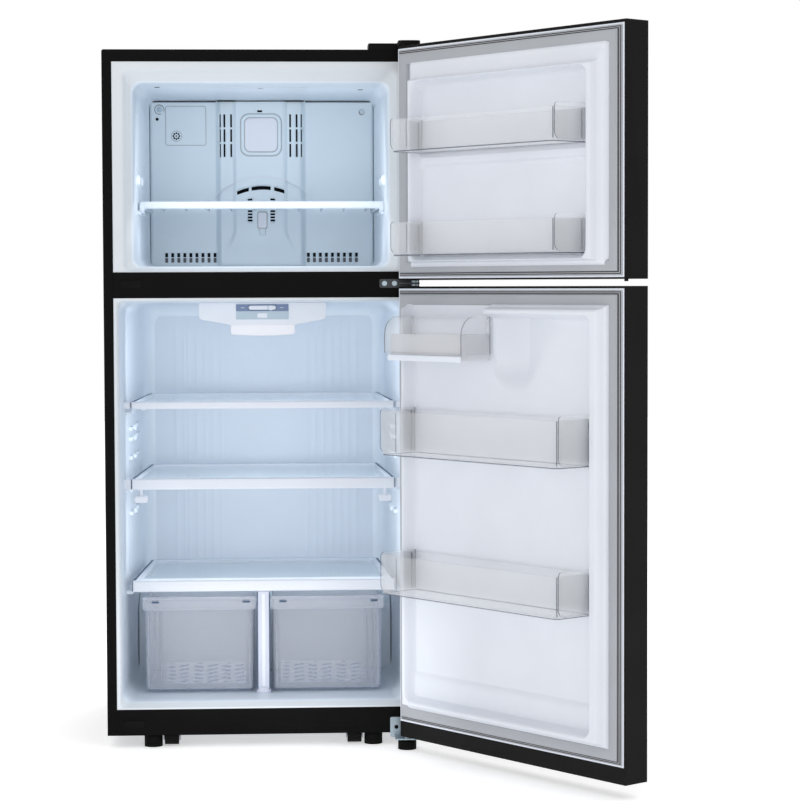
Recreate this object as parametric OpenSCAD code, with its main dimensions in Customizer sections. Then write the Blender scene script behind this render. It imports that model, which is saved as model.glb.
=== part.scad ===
// Top freezer refrigerator with both doors standing open.
//
// Frame: the doors' common hinge axis is the Z axis, the floor is Z = 0, the
// front faces -Y, and the hinge side is +X. Doors are drawn closed and turned
// to the rest angle. Units are millimetres.

/* [Cabinet] */
// Width of the cabinet
case_w = 756; // [740:1:780]
// Height of the cabinet's top panel above the floor
case_h = 1676; // [1660:1:1700]
// Depth of the cabinet without the doors
case_d = 720; // [700:1:740]
// Height of the cabinet's lower edge above the floor
case_z = 30; // [28:1:34]
// Distance of the cabinet's front face behind the hinge axis
front_y = 49; // [48.8:0.1:50]
// Distance of the hinge axis inside the cabinet's hinge side
hinge_inset = 14; // [13:0.5:15]
// Width of the black steel flange round the openings
flange_w = 23.5; // [20:0.5:26]
// Thickness of the steel sheet
sheet = 1.2; // [0.8:0.1:1.4]
// Thickness of the inner liners
liner_t = 2; // [1.5:0.5:2]

/* [Compartments] */
// Freezer floor height
freezer_z0 = 1160; // [1156:1:1164]
// Freezer ceiling height
freezer_z1 = 1597; // [1590:1:1602]
// Fridge floor height
fridge_z0 = 110; // [108:1:112]
// Fridge ceiling height
fridge_z1 = 1073; // [1070:1:1076]
// Depth of both compartments behind the front face
cavity_d = 650; // [645:1:655]
// Depth of the freezer's rear cover behind the front face
rear_cover_d = 550; // [545:1:555]

/* [Doors] */
// Thickness of the doors without the gasket
door_t = 67; // [66:0.5:67]
// Distance of the hinge axis behind the doors' outer face
door_out = 30; // [29:0.5:31]
// Angle at which the doors stand open
rest_angle = 127; // [100:1:130]
// Lower edge of the freezer door
freezer_door_z0 = 1125; // [1124:0.5:1127]
// Upper edge of the freezer door
freezer_door_z1 = 1678; // [1676:0.5:1678]
// Lower edge of the fridge door
fridge_door_z0 = 32; // [32:0.5:34]
// Upper edge of the fridge door
fridge_door_z1 = 1110; // [1106:0.5:1110]
// Thickness of the gaskets
gasket_t = 11.6; // [11:0.1:11.6]
// Wall thickness of the door bins
bin_wall = 2.6; // [2:0.2:3]

/* [Shelves and drawers] */
// Distance of the shelf fronts behind the cabinet's front face
shelf_front_d = 118; // [116:1:125]
// Top surface of the upper shelf
upper_shelf_z = 829; // [826:1:832]
// Top surface of the middle shelf
middle_shelf_z = 639; // [636:1:642]
// Top surface of the crisper cover
crisper_z = 389; // [386:1:391]
// Top surface of the freezer shelf
freezer_shelf_z = 1321; // [1315:1:1325]
// Thickness of the glass
glass_t = 4; // [3:0.5:5]

/* [Hidden] */
$fn = 48;

// Cabinet planes
side_x0 = hinge_inset - case_w;
side_x1 = hinge_inset;
mid_x = (side_x0 + side_x1) / 2;
back_y = front_y + case_d;
flange_y = front_y + sheet;
open_x0 = side_x0 + flange_w;
open_x1 = side_x1 - flange_w;
top_flange_z = case_h - 29;
mullion_z0 = 1084;
mullion_z1 = 1146;
rail_z1 = 93;
deck_z = fridge_z0 - 52;
cavity_y = front_y + cavity_d;
cover_y = front_y + rear_cover_d;
shelf_y = front_y + shelf_front_d;
ledge_y = shelf_y + 22;
liner_tuck = 11;

// Machine compartment behind and below the crisper
machine_y = front_y + 492;
machine_z = 250;
hump_z = 290;
slope_z = 380;

// Hinge hardware
pin_r = 4;
bore_r = pin_r + 0.05;
pin_depth = 22;
hinge_arm_z = 1116;
hinge_arm_t = 3;
top_arm_z = freezer_door_z1 + 3;
base_arm_z = 23;
foot_x = -21.4;
foot_r = 22;
front_pad_h = case_z - 3;
hinge_pad_h = base_arm_z - 3;
front_leg_y = front_y + 30;
stud_r = 4;

// Front legs and rollers, by distance along X
left_foot_x = -633;
right_foot_x = -100;
left_roller_x = -588.5;
right_roller_x = -146;
roller_w = 34;
front_roller_r = 20;
front_roller_gap = 3;
rear_roller_r = 22;
rear_roller_w = 26;
rear_roller_y = back_y - 45;
rear_roller_xs = [side_x0 + 55, side_x1 - 55];
axle_r = 4;

// Doors, in the closed position
door_in = door_t - door_out;
door_x0 = side_x0;
door_x1 = side_x1;
free_gasket_x = door_x0 + 6;
hinge_gasket_x = -1;
gasket_w = 34;
lip_w = 12;
cap_h = 38;
grip_d = 26;
grip_w = 150;
grip_h = 22;

// ---------------------------------------------------------------- helpers

// Box between two corners
module block(x0, x1, y0, y1, z0, z1) {
    translate([x0, y0, z0])
        cube([x1 - x0, y1 - y0, z1 - z0]);
}

// Outline in X and Y drawn up between two heights
module plan_prism(points, z0, z1) {
    translate([0, 0, z0])
        linear_extrude(height = z1 - z0)
            polygon(points);
}

// Outline in Y and Z drawn along X
module side_prism(points, x0, x1) {
    translate([x0, 0, 0])
        rotate([90, 0, 90])
            linear_extrude(height = x1 - x0)
                polygon(points);
}

// Outline in X and Z drawn along Y
module front_prism(points, y0, y1) {
    translate([0, y1, 0])
        rotate([90, 0, 0])
            linear_extrude(height = y1 - y0)
                polygon(points);
}

// Rectangle with round corners
module round_rect(x0, x1, y0, y1, r) {
    translate([x0 + r, y0])
        square([x1 - x0 - 2 * r, y1 - y0]);
    translate([x0, y0 + r])
        square([x1 - x0, y1 - y0 - 2 * r]);
    for (x = [x0 + r, x1 - r])
        for (y = [y0 + r, y1 - r])
            translate([x, y])
                circle(r);
}

// Plate facing the front, with round corners
module front_plate(x0, x1, y0, y1, z0, z1, r) {
    translate([0, y1, 0])
        rotate([90, 0, 0])
            linear_extrude(height = y1 - y0)
                round_rect(x0, x1, z0, z1, r);
}

// Plate lying flat, with round corners
module flat_plate(x0, x1, y0, y1, z0, z1, r) {
    translate([0, 0, z0])
        linear_extrude(height = z1 - z0)
            round_rect(x0, x1, y0, y1, r);
}

// Round bar between two points of one axis
module bar_x(x0, x1, y, z, r) {
    translate([x0, y, z])
        rotate([0, 90, 0])
            cylinder(h = x1 - x0, r = r);
}

module bar_y(x, y0, y1, z, r) {
    translate([x, y0, z])
        rotate([-90, 0, 0])
            cylinder(h = y1 - y0, r = r);
}

module bar_z(x, y, z0, z1, r) {
    translate([x, y, z0])
        cylinder(h = z1 - z0, r = r);
}

// Turns a closed door's pieces to the rest angle
module in_door() {
    rotate([0, 0, rest_angle])
        children();
}

// ------------------------------------------------------- inner liner shapes

// Liner walls at the front, just behind the throat, and at the back
freezer_mouth_x = [side_x0 + 54, side_x1 - 57];
freezer_throat_x = [side_x0 + 72, side_x1 - 74];
freezer_back_x = [side_x0 + 86, side_x1 - 89];
fridge_mouth_x = [side_x0 + 34, side_x1 - 34];
fridge_throat_x = [side_x0 + 36, side_x1 - 36];
fridge_back_x = [side_x0 + 56, side_x1 - 56];
throat_y = front_y + 29;
fridge_throat_y = front_y + 14;

// Space inside the freezer, grown by g on every wall
module freezer_space(g, reach) {
    plan = [[freezer_mouth_x[0] - g, reach], [freezer_mouth_x[0] - g, flange_y + g],
            [freezer_throat_x[0] - g, throat_y + g], [freezer_back_x[0] - g, cavity_y + g],
            [freezer_back_x[1] + g, cavity_y + g], [freezer_throat_x[1] + g, throat_y + g],
            [freezer_mouth_x[1] + g, flange_y + g], [freezer_mouth_x[1] + g, reach]];
    side = [[reach, freezer_z0 - 8 - g], [flange_y + g, freezer_z0 - 8 - g],
            [throat_y + g, freezer_z0 - g], [cavity_y + g, freezer_z0 - g],
            [cavity_y + g, freezer_z1 + g], [throat_y + g, freezer_z1 + g],
            [flange_y + g, freezer_z1 + 26 + g], [reach, freezer_z1 + 26 + g]];
    intersection() {
        plan_prism(plan, freezer_z0 - 40, freezer_z1 + 60);
        side_prism(side, side_x0, side_x1);
    }
}

// Space inside the fridge, grown by g on every wall
module fridge_space(g, reach) {
    plan = [[fridge_mouth_x[0] - g, reach], [fridge_mouth_x[0] - g, flange_y + g],
            [fridge_throat_x[0] - g, fridge_throat_y + g], [fridge_back_x[0] - g, cavity_y + g],
            [fridge_back_x[1] + g, cavity_y + g], [fridge_throat_x[1] + g, fridge_throat_y + g],
            [fridge_mouth_x[1] + g, flange_y + g], [fridge_mouth_x[1] + g, reach]];
    side = [[reach, fridge_z0 - 13 - g], [flange_y + g, fridge_z0 - 13 - g],
            [throat_y + g, fridge_z0 - g], [machine_y - 50 + g, fridge_z0 - g],
            [machine_y - 50 + g, hump_z - g], [cavity_y + g, slope_z - g],
            [cavity_y + g, fridge_z1 + g], [throat_y + g, fridge_z1 + g],
            [flange_y + g, fridge_z1 + 5 + g], [reach, fridge_z1 + 5 + g]];
    intersection() {
        plan_prism(plan, fridge_z0 - 40, fridge_z1 + 40);
        side_prism(side, side_x0, side_x1);
    }
}

// Front flange of a liner, tucked behind the steel
module liner_flange(z0, z1) {
    block(open_x0 - liner_tuck, open_x1 + liner_tuck, flange_y, flange_y + liner_t, z0, z1);
}

// Ledges that carry a shelf, one on each side wall
module shelf_ledges(wall_x, z, y0, y1, w) {
    for (s = [0, 1])
        block(s == 0 ? wall_x[0] - 24 : wall_x[1] - w, s == 0 ? wall_x[0] + w : wall_x[1] + 24,
              y0, y1, z - 12, z);
}

// ------------------------------------------------------------ cabinet shell

// Steel wrapper: both sides, the top, and the front flange folded inward
module outer_case() {
    color([0.07, 0.07, 0.075]) {
        for (x = [side_x0, side_x1 - sheet])
            block(x, x + sheet, front_y, back_y - sheet, case_z, case_h);
        block(side_x0, side_x1, front_y, back_y - sheet, case_h - sheet, case_h);
        block(side_x0, open_x0, front_y, flange_y, case_z, case_h);
        block(open_x1, side_x1, front_y, flange_y, case_z, case_h);
        block(side_x0, side_x1, front_y, flange_y, top_flange_z, case_h);
    }
}

// Flat steel sheet over the foam at the back
module rear_panel() {
    color([0.12, 0.12, 0.13])
        block(side_x0, side_x1, back_y - sheet, back_y, machine_z, case_h);
}

module foam_insulation() {
    color([0.93, 0.87, 0.62])
        difference() {
            block(side_x0 + sheet, side_x1 - sheet, flange_y + liner_t, back_y - sheet,
                  fridge_z0 - 50, case_h - sheet);
            freezer_space(liner_t, front_y - 5);
            fridge_space(liner_t, front_y - 5);
            block(side_x0, side_x1, machine_y - 2, back_y + 1, 0, machine_z);
            block(open_x0, open_x1, front_y, front_y + 24, mullion_z0 + 28, mullion_z0 + 34);
        }
}

module freezer_liner() {
    color([0.90, 0.94, 0.97])
        difference() {
            union() {
                freezer_space(liner_t, flange_y);
                liner_flange(mullion_z1 - 10, top_flange_z + liner_tuck);
            }
            difference() {
                freezer_space(0, front_y - 5);
                shelf_ledges(freezer_back_x, freezer_shelf_z - 21, ledge_y, cover_y - 20, 8);
            }
        }
}

module fridge_liner() {
    color([0.88, 0.93, 0.97])
        difference() {
            union() {
                fridge_space(liner_t, flange_y);
                liner_flange(rail_z1 - 10, mullion_z0 + 10);
            }
            difference() {
                fridge_space(0, front_y - 5);
                for (z = [upper_shelf_z, middle_shelf_z])
                    shelf_ledges(fridge_back_x, z - 22, ledge_y, cavity_y + 1, 14);
                shelf_ledges(fridge_back_x, crisper_z - 24, ledge_y, cavity_y - 40, 14);
            }
        }
}

// Black steel rail between the two openings, with a stiffening web
module mullion_rail() {
    color([0.06, 0.06, 0.065]) {
        block(open_x0, open_x1, front_y, flange_y, mullion_z0, mullion_z1);
        block(open_x0 + 4, open_x1 - 4, flange_y, front_y + 22, mullion_z0 + 29, mullion_z0 + 33);
    }
}

// Black steel rail below the fridge opening, with a return that stiffens it
module bottom_rail() {
    color([0.06, 0.06, 0.065]) {
        block(open_x0, open_x1, front_y, flange_y, case_z, rail_z1);
        block(open_x0, open_x1, flange_y, front_y + 8, case_z, case_z + sheet);
        for (x = [left_foot_x + 90, right_foot_x - 110])
            block(x, x + 26, flange_y, front_y + 8, case_z, deck_z);
    }
}

// Steel chassis: side rails, cross members, deck, leg brackets and axles
module base_frame() {
    color([0.55, 0.57, 0.60])
        difference() {
            union() {
                for (x = [side_x0 + sheet, side_x1 - sheet - 2])
                    block(x, x + 2, front_y + 14, back_y - sheet, case_z + 2, deck_z);
                block(side_x0 + sheet, side_x1 - sheet, front_y + 14, machine_y, deck_z, deck_z + 2);
                block(side_x0 + sheet, side_x1 - sheet, machine_y - 2, back_y - 8, case_z + 8, case_z + 10);
                block(side_x0 + sheet, side_x1 - sheet, machine_y - 2, machine_y, case_z + 8, machine_z);
                for (x = [left_foot_x, right_foot_x])
                    block(x - 18, x + 18, front_leg_y - 14, front_leg_y + 14, case_z + 4, case_z + 16);
                for (x = [left_foot_x, right_foot_x])
                    block(x - 18, x - 15, front_leg_y - 14, front_leg_y + 14, case_z + 4, deck_z);
                for (x = [left_roller_x, right_roller_x])
                    roller_fork(x, front_leg_y, front_roller_r + front_roller_gap, roller_w, deck_z);
                for (x = rear_roller_xs)
                    roller_fork(x, rear_roller_y, rear_roller_r, rear_roller_w, case_z + 9);
            }
            for (x = [left_foot_x, right_foot_x])
                bar_z(x, front_leg_y, case_z, deck_z - 3, stud_r + 0.05);
            for (x = rear_roller_xs)
                bar_x(x - 30, x + 30, rear_roller_y, rear_roller_r, axle_r + 0.05);
            for (x = rear_roller_xs)
                block(x - rear_roller_w / 2 - 2, x + rear_roller_w / 2 + 2,
                      rear_roller_y - 26, rear_roller_y + 26, case_z + 7, case_z + 11);
        }
}

// Two cheeks beside a roller; front rollers also get a fixed axle
module roller_fork(x, y, z, w, top) {
    for (s = [-1, 1])
        block(x + s * (w / 2 + 3) - 1.5, x + s * (w / 2 + 3) + 1.5, y - 9, y + 9, z - 9, top + 1);
    if (y < machine_y)
        bar_x(x - w / 2 - 3, x + w / 2 + 3, y, z, axle_r);
}

// -------------------------------------------------------------------- hinges

// Plate on the cabinet's top with the freezer door's upper pin
module top_hinge() {
    color([0.30, 0.31, 0.33])
        difference() {
            union() {
                flat_plate(-96, 8, front_y + 8, front_y + 66, case_h, case_h + 5, 4);
                flat_plate(-30, 9.5, -12, front_y + 30, top_arm_z, top_arm_z + 3, 8);
                block(-30, 8, front_y + 8, front_y + 30, case_h + 4, top_arm_z + 1);
                bar_z(0, 0, freezer_door_z1 - pin_depth, top_arm_z + 1, pin_r);
            }
            for (x = [-82, -46])
                bar_z(x, front_y + 36, case_h - 1, case_h + 6, 3.2);
        }
}

// Black cover over the top hinge, with a round nose above the door
module top_hinge_cover() {
    cover_z = case_h + 15;
    color([0.05, 0.05, 0.055])
        difference() {
            union() {
                flat_plate(-106, 12, front_y + 1, front_y + 78, case_h, cover_z, 7);
                flat_plate(-38, 14, -26, front_y + 20, freezer_door_z1 + 1.5, cover_z, 13);
            }
            flat_plate(-102, 10, front_y + 4, front_y + 74, case_h - 1, cover_z - 2.5, 4);
            flat_plate(-35, 13, -22, front_y + 10, freezer_door_z1, cover_z - 2.5, 9);
        }
}

// Bolted plate on the mullion with an arm between the doors and two pins
module middle_hinge() {
    color([0.72, 0.74, 0.77])
        difference() {
            union() {
                front_plate(-82, 6, front_y - 3, front_y, hinge_arm_z - 9, hinge_arm_z + 12, 4);
                flat_plate(-34, 12, -13, front_y, hinge_arm_z, hinge_arm_z + hinge_arm_t, 8);
                bar_z(0, 0, hinge_arm_z, freezer_door_z0 + pin_depth, pin_r);
                bar_z(0, 0, fridge_door_z1 - pin_depth, hinge_arm_z + 1, pin_r);
                bar_z(0, 0, hinge_arm_z, freezer_door_z0 - 1, pin_r + 4);
                bar_z(0, 0, fridge_door_z1 + 1, hinge_arm_z + 1, pin_r + 4);
            }
            for (x = [-70, -46])
                bar_y(x, front_y - 4, front_y + 1, hinge_arm_z + 1.5, 3.2);
        }
}

// Bolted plate with the lower pin and the threaded seat of the hinge-side foot
module bottom_hinge() {
    color([0.70, 0.73, 0.77])
        difference() {
            union() {
                front_plate(-60, 10, front_y - 3, front_y, base_arm_z - 4, 68, 4);
                flat_plate(-50, 12, -14, front_y, base_arm_z, base_arm_z + hinge_arm_t, 8);
                bar_z(0, 0, base_arm_z, fridge_door_z0 + pin_depth, pin_r);
                bar_z(0, 0, base_arm_z, fridge_door_z0 - 1, pin_r + 4);
                bar_z(foot_x, 0, base_arm_z, base_arm_z + 7, 8);
            }
            bar_z(foot_x, 0, base_arm_z - 1, base_arm_z + 12, stud_r + 0.05);
            bar_y(-45, front_y - 4, front_y + 1, 44, 5);
            for (p = [[-28, 56], [-6, 56]])
                bar_y(p[0], front_y - 4, front_y + 1, p[1], 3.2);
        }
}

// Pan-head screw pointing along +Y with its head towards the front
module screw_y(x, y, z) {
    bar_y(x, y - 3, y, z, 6);
    bar_y(x, y - 0.5, y + 14, z, 2.8);
}

// All the identical pan-head screws: hinges and the freezer's rear cover
module screws() {
    color([0.78, 0.79, 0.81]) {
        for (x = [-82, -46]) {
            bar_z(x, front_y + 36, case_h + 5, case_h + 8, 6);
            bar_z(x, front_y + 36, case_h - 9, case_h + 5.5, 2.8);
        }
        for (x = [-70, -46])
            screw_y(x, front_y - 3, hinge_arm_z + 1.5);
        for (p = [[-28, 56], [-6, 56]])
            screw_y(p[0], front_y - 3, p[1]);
        for (x = [freezer_back_x[0] + 30, freezer_back_x[1] - 28])
            screw_y(x, cover_y, freezer_z1 - 30);
    }
}

// Oval plugs over the unused hinge holes on the latch side
module hole_caps() {
    color([0.09, 0.09, 0.10])
        for (z = [hinge_arm_z + 1.5, rail_z1 - 35])
            front_plate(open_x0 + 16, open_x0 + 68, front_y - 2.4, front_y, z - 9, z + 9, 8.5);
}

// --------------------------------------------------------- machine compartment

// Rear cover with louvres and the cord's gland
module machine_cover() {
    slots = 9;
    color([0.13, 0.13, 0.14])
        difference() {
            union() {
                block(side_x0 + 8, side_x1 - 8, back_y - 8, back_y - 6, case_z + 12, machine_z - 2);
                bar_y(side_x1 - 70, back_y - 12, back_y, case_z + 80, 11);
            }
            bar_y(side_x1 - 70, back_y - 14, back_y + 1, case_z + 80, 5);
            for (side = [0, 1])
                for (i = [0:slots - 1])
                    block(side_x0 + 70 + side * 330, side_x0 + 310 + side * 290, back_y - 9, back_y - 5,
                          case_z + 40 + i * 17, case_z + 47 + i * 17);
        }
}

// Hermetic compressor: domed can, foot plate, rubber mounts, pipe stubs
module compressor() {
    cx = side_x1 - 190;
    cy = machine_y + 108;
    deck = case_z + 10;
    can_r = 84;
    dome_r = 110;
    color([0.05, 0.05, 0.055]) {
        translate([cx, cy, deck + 22]) {
            intersection() {
                cylinder(h = 2 * can_r, r = can_r);
                sphere(r = dome_r);
            }
            translate([0, 0, 24])
                cylinder(h = 8, r = can_r + 3);
        }
        flat_plate(cx - 110, cx + 110, cy - 72, cy + 72, deck + 16, deck + 23, 14);
        for (sx = [-1, 1])
            for (sy = [-1, 1])
                bar_z(cx + sx * 94, cy + sy * 56, deck, deck + 17, 11);
        bar_x(cx - 118, cx - 70, cy + 20, deck + 60, 4);
        bar_x(cx - 118, cx - 70, cy - 20, deck + 48, 5);
    }
}

// Folded tube-and-plate condenser on the latch side
module condenser() {
    x0 = side_x0 + 80;
    x1 = side_x0 + 290;
    rows = 6;
    layers = 4;
    color([0.06, 0.06, 0.065]) {
        for (i = [0:rows - 1])
            for (j = [0:layers - 1])
                bar_x(x0, x1, machine_y + 34 + i * 28, case_z + 40 + j * 44, 3);
        for (x = [x0 + 6, (x0 + x1) / 2, x1 - 6])
            block(x - 1, x + 1, machine_y + 20, machine_y + 190, case_z + 10, pan_z);
    }
}

fan_x = side_x0 + 320;
fan_z = case_z + 108;
fan_y = machine_y + 108;
pan_z = case_z + 192;

module condenser_fan_motor() {
    color([0.25, 0.26, 0.28]) {
        bar_x(fan_x + 24, fan_x + 64, fan_y, fan_z, 28);
        bar_x(fan_x + 2, fan_x + 30, fan_y, fan_z, 3);
        block(fan_x + 38, fan_x + 42, fan_y - 30, fan_y + 30, case_z + 10, fan_z - 10);
    }
}

// Fan wheel about X: hub and pitched blades
module condenser_fan_blade() {
    color([0.10, 0.10, 0.11])
        translate([fan_x, fan_y, fan_z])
            rotate([0, 90, 0])
                fan_wheel(62, 14, 20, 5);
}

// Fan wheel standing on Z with a bore for its shaft
module fan_wheel(r, hub_r, depth, blades) {
    pitch = 32;
    difference() {
        union() {
            cylinder(h = depth, r = hub_r);
            intersection() {
                cylinder(h = depth, r = r);
                for (i = [0:blades - 1])
                    rotate([0, 0, i * 360 / blades])
                        translate([hub_r - 3, 0, depth / 2])
                            rotate([pitch, 0, 0])
                                translate([0, -r * 0.32, -0.9])
                                    cube([r, r * 0.64, 1.8]);
            }
        }
        translate([0, 0, -1])
            cylinder(h = depth + 2, r = 3.05);
    }
}

module drain_pan() {
    x0 = side_x0 + 66;
    x1 = side_x0 + 304;
    y0 = machine_y + 8;
    y1 = machine_y + 206;
    color([0.16, 0.16, 0.17])
        translate([0, 0, pan_z])
            difference() {
                linear_extrude(height = 24)
                    round_rect(x0, x1, y0, y1, 12);
                translate([0, 0, 2])
                    linear_extrude(height = 24)
                        round_rect(x0 + 2, x1 - 2, y0 + 2, y1 - 2, 10);
            }
}

// --------------------------------------------------------------- freezer parts

// Finned coil behind the freezer's rear cover
module evaporator() {
    fins = 18;
    tubes = 6;
    x0 = mid_x - 230;
    x1 = mid_x + 230;
    y = (cover_y + cavity_y) / 2 + 6;
    color([0.80, 0.82, 0.84]) {
        for (i = [0:fins - 1])
            block(x0 + 10 + i * 25.6, x0 + 11 + i * 25.6, y - 26, y + 26, freezer_z0 + 30, freezer_z0 + 230);
        for (j = [0:tubes - 1])
            for (s = [-1, 1])
                bar_x(x0, x1, y + s * 13, freezer_z0 + 48 + j * 33, 4);
        for (x = [x0, x1 - 1])
            block(x, x + 1, y - 26, y + 26, freezer_z0, freezer_z0 + 234);
    }
}

vent_x = mid_x;
vent_z = 1506;

module evaporator_fan_motor() {
    color([0.25, 0.26, 0.28]) {
        bar_y(vent_x, cover_y + 52, cover_y + 84, vent_z, 26);
        bar_y(vent_x, cover_y + 26, cover_y + 56, vent_z, 3);
        for (s = [-1, 1])
            block(vent_x + s * 40 - 22, vent_x + s * 40 + 22, cover_y + 60, cover_y + 63, vent_z - 12, vent_z + 12);
        for (s = [-1, 1])
            block(vent_x + s * 62 - 5, vent_x + s * 62 + 5, cover_y + 60, cavity_y, vent_z - 12, vent_z + 12);
    }
}

module evaporator_fan_blade() {
    color([0.92, 0.92, 0.92])
        translate([vent_x, cover_y + 44, vent_z])
            rotate([90, 0, 0])
                fan_wheel(50, 12, 18, 5);
}

// Centre duct of the rear cover
duct_x = [vent_x - 115, vent_x + 114];
column_x = [vent_x - 73, vent_x + 69];
duct_y = cover_y - 14;
column_y = cover_y - 20;
slider_x = vent_x - 1;
slider_z = 1284;

// White plastic cover over the evaporator, with the raised air duct and vents
module freezer_rear_cover() {
    low_vents = 9;
    low_pitch = 15.7;
    left_vent_x = freezer_back_x[0] + 38;
    right_vent_x = freezer_back_x[1] - 182;
    cover_t = 4;
    color([0.94, 0.96, 0.98])
        difference() {
            union() {
                block(freezer_back_x[0] - 1.6, freezer_back_x[1] + 1.6, cover_y, cover_y + cover_t,
                      freezer_z0 + 0.6, freezer_z1 - 0.6);
                duct_body();
            }
            duct_hollow();
            for (i = [0:low_vents - 1])
                for (x = [left_vent_x, right_vent_x])
                    block(x + i * low_pitch, x + 6.5 + i * low_pitch, cover_y - 1, cover_y + cover_t + 1,
                          freezer_z0 + 14, freezer_z0 + 39);
            upper_vents();
            duct_slots();
            front_plate(freezer_back_x[0] + 42, freezer_back_x[0] + 144, cover_y - 1, cover_y + 1,
                        1481, 1581, 5);
            bar_y(freezer_back_x[0] + 68, cover_y - 1, cover_y + cover_t + 1, 1504, 9);
            for (x = [freezer_back_x[0] + 30, freezer_back_x[1] - 28])
                bar_y(x, cover_y - 1, cover_y + cover_t + 1, freezer_z1 - 30, 3);
        }
}

// Outline of the duct and of the column that stands proud of it
module duct_body() {
    front_plate(duct_x[0], duct_x[1], duct_y, cover_y + 1, freezer_z0 + 50, freezer_z1 - 1, 6);
    front_plate(column_x[0], column_x[1], column_y, cover_y, freezer_z0 + 52, 1400, 30);
    front_prism([[column_x[0] + 4, freezer_z0 + 80], [column_x[1] - 4, freezer_z0 + 80],
                 [column_x[1] + 22, freezer_z0 + 50], [column_x[0] - 22, freezer_z0 + 50]],
                column_y, cover_y);
}

module duct_hollow() {
    wall = 3;
    front_plate(duct_x[0] + wall, duct_x[1] - wall, duct_y + wall, cover_y + 6,
                freezer_z0 + 52 + wall, freezer_z1 - 1 - wall, 4);
    front_plate(column_x[0] + wall, column_x[1] - wall, column_y + wall, duct_y + 4,
                freezer_z0 + 56 + wall, 1400 - wall, 27);
}

// Columns of louvres beside the cap
module upper_vents() {
    rows = 3;
    for (i = [0:rows - 1])
        for (x = [duct_x[0] + 8, duct_x[0] + 19, duct_x[0] + 33, duct_x[1] - 39, duct_x[1] - 25, duct_x[1] - 13])
            block(x, x + 6, duct_y - 1, duct_y + 4, 1450 + i * 38, 1481 + i * 38);
}

// Curved row of slots, the slider's window, and the small slots beside it
module duct_slots() {
    slot_r = 150;
    for (a = [-18, 0, 18])
        translate([vent_x - 2, column_y - 1, 1372 - slot_r])
            rotate([0, a, 0])
                translate([-20, 0, slot_r - 4])
                    cube([40, 6, 8]);
    block(slider_x - 7, slider_x + 7, column_y - 1, column_y + 4, slider_z - 40, slider_z + 40);
    for (x = [vent_x - 36, vent_x + 23])
        for (i = [0:4])
            block(x, x + 13, column_y - 1, column_y + 4, 1281 + i * 8, 1285 + i * 8);
}

// Blank square cap over the air outlet
module air_cap() {
    color([0.95, 0.97, 0.99]) {
        front_plate(vent_x - 53, vent_x + 53, duct_y - 4, duct_y, vent_z - 54, vent_z + 54, 16);
        front_plate(vent_x - 43, vent_x + 43, duct_y - 9, duct_y - 3, vent_z - 44, vent_z + 44, 12);
    }
}

// Air control knob on the duct, sliding up and down
module freezer_slider() {
    color([0.93, 0.94, 0.95]) {
        front_plate(slider_x - 11, slider_x + 11, column_y - 7, column_y - 0.4, slider_z - 20, slider_z + 20, 4);
        block(slider_x - 5, slider_x + 5, column_y - 1, column_y + 4.5, slider_z - 12, slider_z + 12);
        block(slider_x - 8.5, slider_x + 8.5, column_y + 3.4, column_y + 5.4, slider_z - 14, slider_z + 14);
    }
}

// Solid freezer shelf with a front bar and downturned ends
module freezer_shelf() {
    x0 = freezer_throat_x[0] + 12;
    x1 = freezer_throat_x[1] - 12;
    y0 = front_y + 150;
    y1 = cover_y - 32;
    z = freezer_shelf_z;
    color([0.94, 0.96, 0.98]) {
        front_plate(x0 - 4, x1 + 4, y0, y0 + 10, z - 19, z, 4);
        plan_prism([[x0 + 2, y0 + 8], [x1 - 2, y0 + 8], [x1 - 8, y1], [x0 + 8, y1]], z - 6, z - 2);
        for (x = [x0 + 2, x1 - 14])
            block(x, x + 12, y0 + 8, y0 + 60, z - 20.7, z - 4);
        block(x0 + 9, x1 - 9, y1 - 10, y1, z - 20.7, z - 4);
        for (i = [1:4])
            block(x0 + i * (x1 - x0) / 5 - 2, x0 + i * (x1 - x0) / 5 + 2, y0 + 8, y1 - 2, z - 16, z - 4);
    }
}

// ---------------------------------------------------------------- fridge parts

crisper_back_y = front_y + 600;
housing_x = [-518, -208];
tab_x = [-441, -285];
housing_y = front_y + 95;
panel_x = [-428, -300];
knob_x = -343;
knob_z = 1059;

// Control housing under the fridge ceiling, with the control window
module control_housing() {
    face = [[housing_x[0], fridge_z1 - 0.4], [housing_x[1], fridge_z1 - 0.4], [housing_x[1], 1034],
            [housing_x[1] - 4, 1029], [tab_x[1], 1014], [tab_x[0], 1014],
            [housing_x[0] + 4, 1029], [housing_x[0], 1034]];
    inner = [[housing_x[0] + 3, fridge_z1 + 2], [housing_x[1] - 3, fridge_z1 + 2], [housing_x[1] - 3, 1036],
             [tab_x[1] - 2, 1018], [tab_x[0] + 2, 1018], [housing_x[0] + 3, 1036]];
    color([0.90, 0.92, 0.96])
        difference() {
            front_prism(face, housing_y, housing_y + 210);
            front_prism(inner, housing_y + 3, housing_y + 207);
            front_plate(panel_x[0], panel_x[1], housing_y - 1, housing_y + 1.2, 1030, 1069, 3);
            block(-396, -330, housing_y - 1, housing_y + 4, knob_z - 3, knob_z + 3);
            for (i = [0:5])
                block(tab_x[0] + 14 + i * 24, tab_x[0] + 24 + i * 24, housing_y + 90, housing_y + 180,
                      1013, 1019);
        }
}

// Frosted lens hanging below the housing
module light_lens() {
    z1 = 1014;
    color([0.93, 0.95, 0.98])
        difference() {
            side_prism([[housing_y + 6, z1], [housing_y + 84, z1], [housing_y + 76, 990],
                        [housing_y + 14, 990]], tab_x[0], tab_x[1]);
            side_prism([[housing_y + 9, z1 + 1], [housing_y + 81, z1 + 1], [housing_y + 73, 993],
                        [housing_y + 17, 993]], tab_x[0] + 3, tab_x[1] - 3);
        }
}

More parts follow.
